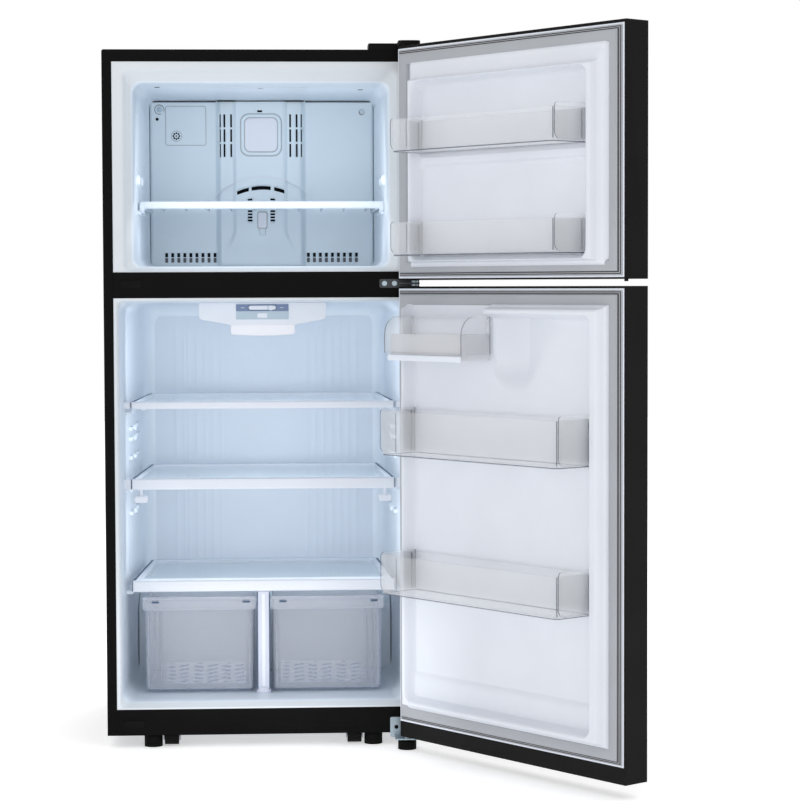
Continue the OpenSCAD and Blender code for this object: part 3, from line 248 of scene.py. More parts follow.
def corner_ring(u0, u1, v0, v1, r, steps=6):
    """Rounded rectangle, anticlockwise from the low corner; r is one radius or
    four, in the order low-low, high-low, high-high, low-high."""
    radii = r if isinstance(r, (tuple, list)) else (r,) * 4
    corners = [(u0, v0, 180, radii[0]), (u1, v0, 270, radii[1])]
    corners += [(u1, v1, 0, radii[2]), (u0, v1, 90, radii[3])]
    ring = []
    for u, v, start, rad in corners:
        cu = u + rad if u == u0 else u - rad
        cv = v + rad if v == v0 else v - rad
        ring += arc(cu, cv, rad, start, 90, steps)
    return ring


def arc(cu, cv, r, start, sweep, steps):
    """Points along an arc about (cu, cv), from a start angle in degrees."""
    angles = [math.radians(start + sweep * i / steps) for i in range(steps + 1)]
    return [(cu + r * math.cos(a), cv + r * math.sin(a)) for a in angles]


def turns(n):
    """n equal steps of one full turn, in radians."""
    return [2 * math.pi * i / n for i in range(n)]


def circle(cu, cv, r, n):
    """n points round a circle."""
    return [(cu + r * math.cos(a), cv + r * math.sin(a)) for a in turns(n)]


AXES = {
    "x": lambda u, v, w: (w, u, v),
    "y": lambda u, v, w: (u, w, v),
    "z": lambda u, v, w: (u, v, w),
}


def loft(name, rings, mats, indices=None, start=True, end=True, angle=CREASE):
    """Skin over rings of equal length. indices gives each band's material."""
    n = len(rings[0])
    verts = [p for ring in rings for p in ring]
    faces, used = [], []
    for i in range(len(rings) - 1):
        for j in range(n):
            a, b = i * n + j, i * n + (j + 1) % n
            faces.append((a, b, b + n, a + n))
            used.append(indices[i] if indices else 0)
    if start:
        faces.append(tuple(reversed(range(n))))
        used.append(0)
    if end:
        last = (len(rings) - 1) * n
        faces.append(tuple(range(last, last + n)))
        used.append(0)
    return build(name, verts, faces, mats, used, angle)


def prism(name, outline, axis, lo, hi, mats, rim=0, angle=CREASE):
    """Outline drawn along an axis. Its rim can take another material."""
    place = AXES[axis]
    rings = [[place(u, v, w) for u, v in outline] for w in (lo, hi)]
    return loft(name, rings, mats, [rim], angle=angle)


def slab(name, u0, u1, v0, v1, axis, lo, hi, mats, r=3, rim=0):
    """Flat plate with round corners, standing across an axis."""
    return prism(name, corner_ring(u0, u1, v0, v1, r), axis, lo, hi, mats, rim)


def smooth(t):
    """Eases from 0 to 1 as t does, and stays level outside."""
    t = max(0.0, min(1.0, t))
    return t * t * (3 - 2 * t)


def inset(u, v, rect, r):
    """Distance inside a rounded rectangle, negative outside."""
    u0, u1, v0, v1 = rect
    qu = abs(u - (u0 + u1) / 2) - (u1 - u0) / 2 + r
    qv = abs(v - (v0 + v1) / 2) - (v1 - v0) / 2 + r
    outside = math.hypot(max(qu, 0), max(qv, 0))
    return r - outside - min(max(qu, qv), 0)


def lines(lo, hi, step, marks=(), near=0.8):
    """Grid lines from lo to hi, with exact extra lines at the marks."""
    count = max(1, round((hi - lo) / step))
    found = [lo + (hi - lo) * i / count for i in range(count + 1)]
    marks = sorted(m for m in marks if lo < m < hi)
    kept = [f for f in found if all(abs(f - m) > near for m in marks)]
    return sorted(set(kept) | set(marks))


def around(*edges, spread=(-6, -3, -1.5, 0, 1.5, 3, 6)):
    """Extra grid lines about each edge."""
    return [e + s for e in edges for s in spread]


def relief(name, us, vs, height, place, mats, hole=None, angle=50, index=None):
    """Sheet over a grid, raised by height(u, v) and left open where hole(u, v).

    index(u, v) picks the material of each small face.
    """
    verts = [place(u, v, height(u, v)) for v in vs for u in us]
    n = len(us)
    faces, used = [], []
    for j in range(len(vs) - 1):
        for i in range(n - 1):
            u, v = (us[i] + us[i + 1]) / 2, (vs[j] + vs[j + 1]) / 2
            if hole and hole(u, v):
                continue
            a = j * n + i
            faces.append((a, a + 1, a + 1 + n, a + n))
            used.append(index(u, v) if index else 0)
    return build(name, verts, faces, mats, used, angle)


def thicken(obj, t, offset=-1):
    """Gives a sheet its thickness in mm: inward at -1, outward at 1."""
    mod = obj.modifiers.new("thick", "SOLIDIFY")
    mod.thickness = t * MM
    mod.offset = offset


# -------- CAD node looks

NODE_LOOKS = (
    # material, width of the rounded edges, nodes
    (BLACK, 0.4, ("mullion_rail", "bottom_rail")),
    (BLACK, 1.0, ("compressor",)),
    (BLACK, 0, ("condenser",)),
    (STEEL, 0.3, ("base_frame",)),
    (DARK_STEEL, 0.5, ("top_hinge", "middle_hinge")),
    (BLACK_PLASTIC, 1.0, ("top_hinge_cover", "roller_left", "roller_right", "rear_rollers")),
    (BLACK_PLASTIC, 0.5, ("drain_pan",)),
    (ZINC, 0.5, ("bottom_hinge",)),
    (ZINC, 0.6, ("screws",)),
    (DARK_PANEL, 0.3, ("machine_cover",)),
    (MOTOR, 0.8, ("condenser_fan_motor", "evaporator_fan_motor")),
    (FAN, 0.3, ("condenser_fan_blade",)),
    (ALUMINIUM, 0, ("evaporator",)),
    (WHITE, 0.3, ("evaporator_fan_blade",)),
    (WHITE, 0.8, ("freezer_slider",)),
    (WHITE, 0.5, ("temperature_slider",)),
    (GLASS, 0.4, ("upper_shelf_glass", "middle_shelf_glass", "crisper_glass")),
    (RUBBER, 1.5, ("foot_left", "foot_right", "foot_hinge")),
    (LIT_DOOR_PAINT, 0.5, ("freezer_door_skin", "fridge_door_skin")),
)


def dress_nodes():
    """Materials and rounded edges on the CAD nodes that are shown as they are."""
    for mat, width, nodes in NODE_LOOKS:
        for node in nodes:
            dress(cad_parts[node], mat, width)


def dress(obj, mat, width):
    """One CAD node: its material, welded seams, rounded and then split edges."""
    obj.data.materials.clear()
    obj.data.materials.append(mat)
    weld = obj.modifiers.new("weld", "WELD")
    weld.merge_threshold = 0.00001
    if width:
        round_edges(obj, width)
    split = obj.modifiers.new("split", "EDGE_SPLIT")
    split.split_angle = math.radians(40)


# -------- cabinet shell


def arch(name, w, top_w, y0, y1):
    """Upside-down U of the case: sides w wide, top top_w high, outer corners round."""
    (x0, x1), (z0, z1), r = SIDE_X, CASE_Z, 5
    outer = [(x0, z0), *arc(x0 + r, z1 - r, r, 180, -90, 6), *arc(x1 - r, z1 - r, r, 90, -90, 6), (x1, z0)]
    inner = [(x1 - w, z0), (x1 - w, z1 - top_w), (x0 + w, z1 - top_w), (x0 + w, z0)]
    return prism(name, list(reversed(outer + inner)), "y", y0, y1, [BLACK])


def make_case():
    """Painted wrapper: the two sides and top, and the flange round the openings."""
    wrap = arch("case_wrap", 5.5, 5.5, FRONT_Y + 0.4, BACK_Y - SHEET)
    flange = arch("case_flange", OPEN_X[0] - SIDE_X[0], CASE_Z[1] - TOP_FLANGE_Z, FRONT_Y, FRONT_Y + 3)
    shell = join([flange, wrap], "case_shell")
    fit(shell, "cabinet", "black_steel", "outer_case", bevel=1.0)


def make_rear_panel():
    """Rear sheet with a pressed field and its row of screws."""
    field = (SIDE_X[0] + 60, SIDE_X[1] - 60, 330, 1600)
    ribs = (650, 970, 1290)

    def height(x, z):
        d = inset(x, z, field, 40)
        raised = sum(2 * (smooth((d - 40) / 20) * smooth(1 - abs(z - rib) / 16)) for rib in ribs)
        return 3 * smooth(d / 14) - raised

    step = (-14, -8, -4, 0, 4, 8, 14)
    us = lines(SIDE_X[0] + 1, SIDE_X[1] - 1, 24, around(field[0], field[1], spread=step))
    marks = around(field[2], field[3], spread=step) + around(*ribs, spread=(-16, -10, -5, 0, 5, 10, 16))
    vs = lines(250, CASE_Z[1] - 1, 30, marks)
    panel = relief("rear_sheet", us, vs, height, lambda x, z, h: (x, BACK_Y - h, z), [DARK_PANEL])
    thicken(panel, 1.0, 1)
    fit(panel, "cabinet", "dark_panel", "rear_panel")
    heads = [dome_screw(x, z) for x in (SIDE_X[0] + 14, SIDE_X[1] - 14) for z in range(290, 1650, 190)]
    heads += [dome_screw(x, 1662) for x in range(-640, -40, 180)]
    fit(join(heads, "rear_screws"), "cabinet", "zinc")


def dome_screw(x, z):
    """Pan head on the rear sheet, with a cross recess left as a dimple."""
    profile = ((5.2, 0), (5.2, 0.8), (4.2, 2.0), (2.4, 2.5), (1.2, 1.6))
    rings = [[(u, BACK_Y + h, v) for u, v in circle(x, z, r, 16)] for r, h in profile]
    return loft("rear_screw", rings, [ZINC])


# -------- liners


def cavity(name, stations, mouth):
    """Inside of a compartment, as rounded rings. The first bands are its mouth."""
    rings = []
    for y, x0, x1, z0, z1, r in stations:
        rings.append([(u, y, v) for u, v in corner_ring(x0, x1, z0, z1, r, 8)])
    bands = [1] * mouth + [0] * (len(stations) - 1 - mouth)
    liner = loft(name, rings, [LINER, MOUTH], bands, start=False, angle=60)
    thicken(liner, LINER_SHEET)
    return liner


FREEZER_STATIONS = [
    # y, x0, x1, z0, z1, corner radius
    (50.4, -724, -4, 1140, 1652, 3),
    (50.2, -718.4, -9.6, 1146.2, 1646.8, 3),
    (50.4, -697, -33, 1147.5, 1630, 12),
    (51.5, -692, -38, 1148.5, 1626, 16),
    (57, -688.5, -41.5, 1150, 1623, 18),
    (64, -684, -46, 1152, 1618, 20),
    (70, -675, -55, 1156, 1602, 22),
    (76, -671, -59, 1159, 1598.5, 24),
    (84, -669.5, -60.5, 1160, 1597, 24),
    (330, -665, -66, 1160, 1597, 24),
    (560, -659.5, -71.5, 1160, 1597, 22),
    (690, -656, -75, 1160, 1597, 18),
    (697, -652, -79, 1164, 1593, 14),
    (699, -640, -91, 1176, 1581, 10),
]

FRIDGE_STATIONS = [
    (50.4, -724, -4, 86, 1090, 3),
    (50.2, -718.4, -9.6, 93.2, 1083.8, 3),
    (50.6, -713, -15, 96, 1079.5, 6),
    (52.5, -710, -18, 97.5, 1078, 9),
    (58, -708, -20.5, 99.5, 1077, 12),
    (66, -706.5, -21.5, 106, 1075, 18),
    (78, -705.5, -22.5, 109.5, 1073.5, 26),
    (90, -705, -23, 110, 1073, 30),
    (330, -697.5, -30.5, 110, 1073, 32),
    (600, -689, -39, 110, 1073, 36),
    (655, -686, -42, 110, 1072, 40),
    (680, -679, -49, 114, 1066, 42),
    (693, -668, -60, 124, 1055, 40),
    (698.5, -652, -76, 140, 1040, 34),
]


def make_freezer_liner():
    """Freezer's cavity with its rests, studs, rails and ceiling mouldings."""
    liner = cavity("freezer_cavity", FREEZER_STATIONS, 6)
    fit(liner, "cabinet", "white_liner", "freezer_liner", "foam_insulation")
    extras = []
    for side, wall in ((1, -668), (-1, -62)):
        extras.append(shelf_rest("freezer_rest_low", wall, side, 1300, 205, 570, 9))
        extras += [knob("freezer_rest_high", wall, side, y, 1371, 13, 9) for y in (190, 330)]
        extras.append(back_rail(wall + side * 3, side))
    duct = (-484, -252, 170, 600)
    extras.append(slab("ceiling_duct", *duct, "z", 1596, 1597.5, [LINER, MOUTH], r=(30, 30, 2, 2)))
    fit(join(extras, "freezer_rests"), "cabinet", "white_liner")
    marks = []
    for x, y in ((-617, 180), (-365, 205), (-119, 250)):
        rect = (x - 6, x + 6, y - 2.5, y + 2.5)
        marks.append(slab("ceiling_mark", *rect, "z", 1595.8, 1597, [SLOT_DARK], r=2))
    fit(join(marks, "freezer_ceiling_marks"), "cabinet", "white_liner")


def shelf_rest(name, wall, side, z, y0, y1, depth):
    """Moulded ledge that a shelf rides on, with round ends."""
    lo, hi = sorted((wall - side * 6, wall + side * depth))
    return slab(name, y0, y1, z - 11, z, "x", lo, hi, [LINER, MOUTH], r=5)


def knob(name, wall, side, y, z, r, depth):
    """Round moulded stud on a side wall; side is the way it points along X."""
    profile = ((r + 3, -4), (r + 1, 0), (r, depth * 0.5), (r * 0.85, depth * 0.85), (r * 0.5, depth))
    rings = [[(wall + side * out, u, v) for u, v in circle(y, z, rad, 20)[::-side]] for rad, out in profile]
    return loft(name, rings, [LINER, MOUTH])


def back_rail(wall, side):
    """Upright half-round moulding in front of the rear cover."""
    angles = [math.pi * i / 12 for i in range(13)]
    outline = [(wall + side * 8 * math.sin(a), 560 + 22 * math.cos(a)) for a in angles]
    return prism("freezer_back_rail", outline, "z", 1166, 1590, [LINER, MOUTH], angle=60)


def make_fridge_liner():
    """Fresh food cavity with its shelf rests, pegs, ribs and rear step."""
    fit(cavity("fridge_cavity", FRIDGE_STATIONS, 5), "cabinet", "white_liner", "fridge_liner")
    pieces = [back_ribs(), compressor_hump()]
    for side, edge in ((1, -703), (-1, -25)):
        for z in (807, 617, 365):
            pieces.append(shelf_rest("fridge_rest", edge, side, z, 190, 660, 17))
        for z in (762, 736, 688, 550):
            for out, y0, y1 in ((6, 300, 350), (10, 470, 560)):
                pieces.append(shelf_rest("fridge_spare_rest", edge + side * out, side, z, y0, y1, 6))
            pieces.append(knob("fridge_peg", edge + side * 8, side, 410, z - 8, 7, 9))
    fit(join(pieces, "fridge_mouldings"), "cabinet", "white_liner", bevel=1.6)
    for x in (-705, -38):
        for z0, z1 in ((813, 829), (615, 640)):
            end = slab("wall_rest_face", x, x + 18, z0, z1, "y", 169, 196, [WHITE], r=3)
            fit(end, "cabinet", "white_liner", bevel=2)


def back_ribs():
    """Rear wall of the fridge with soft upright ribs in groups, in a darker copy of the liner's colour as
    painted shade.
    """
    ribs = (-598, -576, -566, -543, -521, -500, -478, -250, -228, -206, -185, -163, -141, -119)

    def height(x, z):
        fade = smooth((inset(x, z, (-655, -75, 150, 1032), 30)) / 40)
        rise = sum(smooth(1 - abs(x - r) / 5.5) for r in ribs)
        swell = 1.5 * math.cos((x - VENT_X) / 290 * math.pi / 2) ** 2
        return fade * (0.8 * rise + 5 * swell)

    us = lines(-655, -75, 14, around(*ribs, spread=(-5.5, -2.5, 0, 2.5, 5.5)))
    vs = lines(150, 1032, 22)
    return relief("back_ribs", us, vs, height, lambda x, z, h: (x, CAVITY_Y - 1.2 - h, z), [BACK_WALL_SHADE])


def compressor_hump():
    """Stepped moulding over the machine compartment."""
    outline = [(500, 108), (493, 118), (491, 130), (491, 268), (494, 281), (504, 290), (640, 351)]
    outline += [(698, 379), (698, 108)]
    return prism("compressor_hump", outline, "x", -690, -38, [LINER, MOUTH], angle=50)


# -------- freezer rear cover

DUCT_X = (-483, -254)
COLUMN_X = (-441, -299)
LOUVRE_X = ((-476.5, -472), (-465, -460.5), (-447.5, -443), (-293.5, -289), (-276.5, -272), (-263.5, -259))
LOUVRE_Z = ((1449, 1483), (1488, 1521), (1526, 1560))
ARC_X = ((-431, -400), (-393, -343), (-334, -306))
ARC_Z = (1363.5, 1373)
STACK_X = ((-403, -391), (-344, -332))
STACK_Z = [(1281 + 8 * i, 1285.8 + 8 * i) for i in range(4)] + [(1336, 1341)]
LOW_VENT_W = 7.5
LOW_VENT_X = [-620 + 15.8 * i for i in range(9)] + [-249 + 15.8 * i for i in range(9)]
LOW_VENT_Z = ((1174, 1186), (1188, 1199))
TOP_SLOT = (-377, -364, 1565, 1570)
SLIDER_WINDOW = (-372, -358, 1246, 1322)
COVER_HOLES = [(*xs, *zs) for xs in LOUVRE_X for zs in LOUVRE_Z]
COVER_HOLES += [(*xs, *ARC_Z) for xs in ARC_X]
COVER_HOLES += [(*xs, *zs) for xs in STACK_X for zs in STACK_Z]
COVER_HOLES += [(x, x + LOW_VENT_W, *zs) for x in LOW_VENT_X for zs in LOW_VENT_Z]
COVER_HOLES += [TOP_SLOT, SLIDER_WINDOW]


def duct_height(x, z):
    """Rise of the cover's duct and of the column that stands out of it."""
    duct = 14 * smooth(inset(x, z, (DUCT_X[0] - 4, DUCT_X[1] + 4, 1150, 1640), 4) / 16)
    flare = 34 * smooth((1262 - z) / 90)
    column = inset(x, z, (COLUMN_X[0] - flare, COLUMN_X[1] + flare, 1188, 1640), 6)
    rise = 6 * smooth(column / 9)
    return duct + rise * smooth((z - 1188) / 60)


def arc_shift(x, z):
    """Bends the row of slots and its crease into a shallow arc."""
    along = max(0.0, 1 - (abs(x - VENT_X) / 116) ** 6)
    across = smooth(1 - abs(z - 1369) / 48)
    return -((x - VENT_X) ** 2) / 300 * along * across


def cover_hole(x, z):
    """True inside one of the cover's openings."""
    return any(x0 < x < x1 and z0 < z < z1 for x0, x1, z0, z1 in COVER_HOLES)


def make_rear_cover():
    """Freezer's rear cover: duct, louvres, arc of slots and low vents."""
    u_marks = [x for hole in COVER_HOLES for x in hole[:2]]
    u_marks += around(*DUCT_X, *COLUMN_X, spread=(-4, 0, 4, 8, 12))
    v_marks = [z for hole in COVER_HOLES for z in hole[2:]]
    v_marks += around(LOW_VENT_Z[1][1], spread=(-12, -6, 3, 6, 12))
    us = lines(-657, -74, 8, u_marks, near=0.4)
    vs = lines(1160.8, 1596.4, 8, v_marks, near=0.4)

    def place(x, z, h):
        return (x, COVER_Y - h, z + arc_shift(x, z))

    cover = relief("rear_cover_face", us, vs, duct_height, place, [COVER], cover_hole)
    thicken(cover, 2.4)
    fit(cover, "cabinet", "white_plastic", "freezer_rear_cover")
    make_cover_details()


def cover_slab(name, rect, span, mat, r):
    """Plate on the rear cover; span is its front and back, offset from the cover."""
    return slab(name, *rect, "y", COVER_Y + span[0], COVER_Y + span[1], [mat], r=r)


def make_cover_details():
    """Plates, plugs and blank cap on the freezer's rear cover, with painted shade: a dark sheet behind the
    vents, dark lines along the tops, outlines and dark grille holes.
    """
    plates = (
        # name, x0, x1, z0, z1, front and back, material, corner radius
        # A near-black sheet behind the vent slots: painted shade.
        ("vent_shade_backing", (-640, -90, 1166, 1590), (4, 6), SLOT_DARK, 4),
        # A grey outline round the access plate: painted shade.
        ("access_shade_line", (-616.6, -510.4, 1479.4, 1582.6), (-0.5, 1), GASKET, 6.5),
        ("access_plate", (-615, -512, 1481, 1581), (-2, 1), COVER, 5),
        # Dark lines along the tops of the cover and of the duct: painted shade.
        ("cover_top_shade", (-652, -80, 1592, 1595), (-1, 1), SLOT_DARK, 1),
        ("duct_top_shade", (-482, -255, 1592.5, 1595), (-21, -12), SLOT_DARK, 1),
        ("slider_shadow", (-378, -352, 1262, 1306), (-20.6, -18), GASKET, 4),
        ("slider_back", (-374, -356, 1244, 1324), (-17, -15), COVER, 2),
    )
    discs = (
        # name, centre, offset of the face below it, (radius, offset) pairs, material
        # The outline rings round the plug, the screw and the grille, the dark seat round the screw and the
        # grille's dark hub are painted shade.
        ("plug_shade_line", PLUG_AT, 0, ((13, 1), (13, -0.5)), GROOVE_SHADE),
        ("cover_plug", PLUG_AT, 0, ((11.4, 1), (11.4, -2), (9, -3.5), (8, -3)), COVER),
        ("plug_centre", PLUG_AT, 0, ((7.6, 0), (7.6, -3.8), (6.5, -4.2)), PANEL),
        ("cover_pin", (-638, 1548), 0, ((4, 1), (4, -1), (2.5, -2.5)), SLOT_DARK),
        ("screw_shade_line", COVER_SCREW_AT, 0, ((8, 1), (8, -0.5)), GASKET),
        ("screw_seat_shade", COVER_SCREW_AT, 0, ((6, 1), (6, -1.5), (4, -2.5)), GROOVE_SHADE),
        ("rose_shade_line", ROSE_AT, -2, ((14.4, 1), (14.4, -0.4)), GASKET),
        ("cover_rose", ROSE_AT, -2, ((13, 1), (13, -1.2), (11.5, -1.8)), COVER),
        ("rose_hub_shade", ROSE_AT, -3.8, ((2.2, 1), (2.2, -0.6)), GROOVE_SHADE),
    )
    pieces = [cover_slab(*plate) for plate in plates]
    pieces.append(prism("duct_crease", arc_band(142, 1398, 1.6), "y", COVER_Y - 21.4, COVER_Y - 16, [WHITE]))
    pieces += [turned(*disc) for disc in discs]
    for x in (-622, -251):
        pieces.append(cover_slab("low_vent_ledge", (x, x + 136, 1172, 1186), (2.6, 3.4), GROOVE_SHADE, 1))
    # The grille's holes are near-black discs: painted shade.
    for centre in circle(*ROSE_AT, 7.6, 8):
        pieces.append(turned("rose_hole_shade", centre, -3.8, ((2.5, 0.6), (2.5, -0.5)), SLOT_DARK))
    for piece in pieces:
        fit(piece, "cabinet", "white_plastic", bevel=0.4)
    make_air_cap()


def make_air_cap():
    """Blank round-cornered cap on the duct: painted shade round it, frame, painted shade in the fine crease
    and face.
    """
    layers = (
        # name, x0, x1, z0, z1, front and back, material, corner radius, bevel, nodes
        ("cap_shade", (-421.8, -312.7, 1450, 1561.8), (-20.8, -12), GASKET, 23, 0, ()),
        ("cap_frame", (-420, -314.5, 1452, 1560), (-25, -12), COVER, 22, 3.6, ("air_cap",)),
        # A grey plate between frame and face: painted shade in the crease.
        ("cap_groove", (-411.5, -323, 1460, 1552), (-25.3, -20), GASKET, 16, 0, ()),
        ("cap_face", (-409.8, -324.7, 1462, 1550), (-28, -20), WHITE, 15, 2.5, ()),
    )
    for *shape, bevel, nodes in layers:
        fit(cover_slab(*shape), "cabinet", "white_plastic", *nodes, bevel=bevel, segments=4)


def arc_band(half, z, w):
    """Thin arched band about the vent's middle line."""
    xs = [-half + 2 * half * i / 24 for i in range(25)]
    low = [(VENT_X + x, z - x * x / 300) for x in xs]
    top = [(VENT_X + x, z - x * x / 300 + w) for x in xs]
    return low + list(reversed(top))


def turned(name, centre, offset, profile, mat):
    """Round detail that faces the front, on the rear cover or on a plate of it.

    profile holds (radius, offset along Y) pairs from the face below it.
    """
    x, z = centre
    y = COVER_Y + offset
    angles = list(reversed(turns(24)))
    rings = [[(x + r * math.cos(a), y + h, z - r * math.sin(a)) for a in angles] for r, h in profile]
    return loft(name, rings, [mat])


# -------- shelves


def trim_bar(name, x0, x1, z0, z1, y0, y1, mats):
    """Front trim of a shelf: upright section with a full-round nose."""
    nose = min(4.5, (z1 - z0) / 2)
    outline = [(y1, z0), (y1, z1), *arc(y0 + nose, z1 - nose, nose, 90, 90, 6)]
    outline += arc(y0 + nose, z0 + nose, nose, 180, 90, 6)
    return prism(name, list(reversed(outline)), "x", x0, x1, mats)


def glazed_shelf(name, body, node, trim_z, rear_y, opening, bow):
    """Shelf frame with a wide front trim and a rim round the glass."""
    x0, x1 = SHELF_X
    y0 = SHELF_FRONT_Y
    top = trim_z[1] - 1
    trim = trim_bar(name + "_trim", x0, x1, *trim_z, y0, y0 + 15, [WHITE])
    ou0, ou1, ov0, ov1 = opening
    outer = [(x0 + 6, y0 + 10), (x1 - 6, y0 + 10)]
    inner = [(ou0, ov0), (ou1, ov0)]
    taper = 18
    for i in range(13):
        t = i / 12
        bend = bow * math.sin(math.pi * t)
        outer.append((x1 - 6 - taper - (x1 - x0 - 12 - 2 * taper) * t, rear_y - bow + bend))
        inner.append((ou1 - taper * 0.8 - (ou1 - ou0 - 1.6 * taper) * t, ov1 - bow + bend))
    section = ((outer, top - 11), (outer, top), (inner, top), (inner, top - 11), (outer, top - 11))
    rings = [[(u, v, z) for u, v in edge] for edge, z in section]
    rim = loft(name + "_rim", rings, [WHITE], start=False, end=False)
    side = (y0 + 24, rear_y - 40, top - 21, top - 10)
    legs = [slab(name + "_leg", *side, "x", x, x + 10, [WHITE]) for x in (x0 + 22, x1 - 32)]
    fit(join([trim, rim, *legs], name), body, "white_plastic", node, bevel=0.9)


def side_shade_line(name, body, x, y1, z, lean, w):
    """Painted shade along the top of a shelf's side, w wide: a dark strip standing for the shadow of the gap
    there.
    """
    w = math.copysign(w, lean)
    outline = [(x, 178), (x + lean, y1), (x + lean + w, y1), (x + w, 178)]
    if lean < 0:
        outline.reverse()
    side_shade_strip = prism(name, outline, "z", z - 3, z + 1.2, [SHADE_BLUE])
    fit(side_shade_strip, body, "white_plastic", bevel=0.8)


def make_shelves():
    """Glass shelves, the crisper's glass cover and the freezer's shelf."""
    shelves = (
        # name, body, node, front trim in Z, rear edge, opening, rear bow, width of the painted side shade
        ("upper_shelf", "upper_shelf", "upper_shelf_frame", (812, 830), 683,
         (-668, -60, 186, 652), 10, 2.5),
        ("middle_shelf", "middle_shelf", "middle_shelf_frame", (614, 641), 683,
         (-668, -60, 192, 648), 14, 5),
        ("crisper_cover", "cabinet", "crisper_frame", (362, 390), 648,
         (-662, -66, 222, 604), 18, 5),
    )
    for name, body, node, trim_z, rear_y, opening, bow, side_shade_width in shelves:
        glazed_shelf(name, body, node, trim_z, rear_y, opening, bow)
        top = trim_z[1] - 1
        for x, lean in ((SHELF_X[0] - 0.6, 24), (SHELF_X[1] + 0.6, -24)):
            side_shade_line(name + "_bead", body, x, rear_y - 30, top, lean, side_shade_width)
            # A dark line at each end of the trim: painted shade.
            ends = sorted((x, x + math.copysign(1.6, lean)))
            cap = slab(name + "_end_shade_line", *ends, trim_z[0] + 2, top, "y", 166, 184, [SHADE_BLUE], r=0.7)
            fit(cap, body, "white_plastic")
        rear_shade_line(name, body, rear_y - bow - 9, bow, top)
    for x in (-679, -80):
        hanger(x)
    make_freezer_shelf()


def rear_shade_line(name, body, y, bow, z):
    """Thin blue-grey line of painted shade that follows the bowed rear edge of a shelf."""
    x0, x1 = SHELF_X[0] + 30, SHELF_X[1] - 30
    near = [(x0 + (x1 - x0) * i / 16, y + bow * math.sin(math.pi * i / 16)) for i in range(17)]
    far = [(x, bend + 3) for x, bend in near]
    line = prism(name + "_rear_shade_line", near + list(reversed(far)), "z", z - 1, z + 0.8, [PANEL])
    fit(line, body, "white_plastic")


def hanger(x):
    """Post and block below one end of the middle shelf's trim."""
    block = slab("shelf_hanger", x, x + 31, 582, 597, "y", 172, 200, [WHITE], r=4)
    post = slab("hanger_post", x + 12, x + 19, 595, 616, "y", 178, 190, [WHITE], r=2)
    fit(join([block, post], "middle_shelf_hanger"), "middle_shelf", "white_plastic", bevel=1.2)


def make_freezer_shelf():
    """Moulded freezer shelf: front bar, hooked ends and a ribbed panel."""
    parts = [trim_bar("freezer_shelf_bar", -661, -65, 1302, 1320, 199, 209, [FROST])]
    panel = [(-655, 207), (-71, 207), (-76, 567), (-650, 567)]
    parts.append(prism("freezer_shelf_panel", panel, "z", 1314, 1319, [FROST]))
    for x in range(-620, -90, 58):
        parts.append(slab("freezer_shelf_rib", 207, 563, 1305, 1315, "x", x, x + 3, [FROST], r=2))
    hook = [(197, 1317), (207, 1318.5), (222, 1316), (226, 1304), (219, 1293), (207, 1291), (197, 1298)]
    parts += [prism("freezer_shelf_hook", hook, "x", x, x + 11, [FROST]) for x in (-662, -75)]
    for x in (-655, -84):
        parts.append(slab("freezer_shelf_side", 207, 560, 1300.4, 1317, "x", x, x + 7, [FROST]))
    fit(join(parts, "freezer_shelf_moulding"), "freezer_shelf", "white_plastic", "freezer_shelf", bevel=0.9)


# -------- control box and drawers


def make_control_box():
    """Housing under the ceiling with its blank window, slot and lamp lens."""
    outline = [(-518, 1072.6), (-518, 1040), (-516, 1034), (-511, 1030.5), (-447, 1019), (-441, 1017)]
    outline += [(-285, 1017), (-280, 1019), (-215, 1030.5), (-210, 1034), (-208, 1040), (-208, 1072.6)]
    box = prism("control_box", outline, "y", 144, 354, [WHITE])
    fit(box, "cabinet", "white_plastic", "control_housing", bevel=2.5, segments=4)
    lens = [(-441, 1018), (-441, 998), (-439, 995)]
    lens += [(-437 + 148 * i / 10, 994.5 - 3.5 * math.sin(math.pi * i / 10)) for i in range(11)]
    lens += [(-287, 995), (-285, 998), (-285, 1018)]
    lamp = prism("lamp_lens", lens, "y", 147, 228, [LENS])
    fit(lamp, "cabinet", "lens", "light_lens", bevel=1.5)
    marks = (
        # name, x0, x1, z0, z1, front and back Y, material, corner radius
        ("window_strip", (-428, -300, 1051, 1068), (142.6, 146), WINDOW, 1.5),
        ("window_panel", (-428, -300, 1031, 1051), (142.8, 146), PANEL, 1.5),
        ("window_slot", (-397, -331, 1054.5, 1064.5), (142.1, 146), WHITE, 4.8),
        # A dark outline round the slot: painted shade.
        ("window_slot_shade_rim", (-399, -329, 1053, 1066), (142.4, 146), SHADE_BLUE, 6),
        ("window_button", (-376, -352, 1035, 1046), (142.1, 146), WHITE, 2),
        ("window_knob", (-352, -340, 1055.5, 1063.5), (141.6, 144), PANEL, 3.5),
        ("window_dash", (-416, -407, 1058.6, 1060.4), (142.3, 146), PANEL, 0.6),
        ("window_dash", (-321, -312, 1058.6, 1060.4), (142.3, 146), PANEL, 0.6),
    )
    for name, rect, depth, mat, r in marks:
        fit(slab(name, *rect, "y", *depth, [mat], r=r), "cabinet", "white_plastic", bevel=0.3)


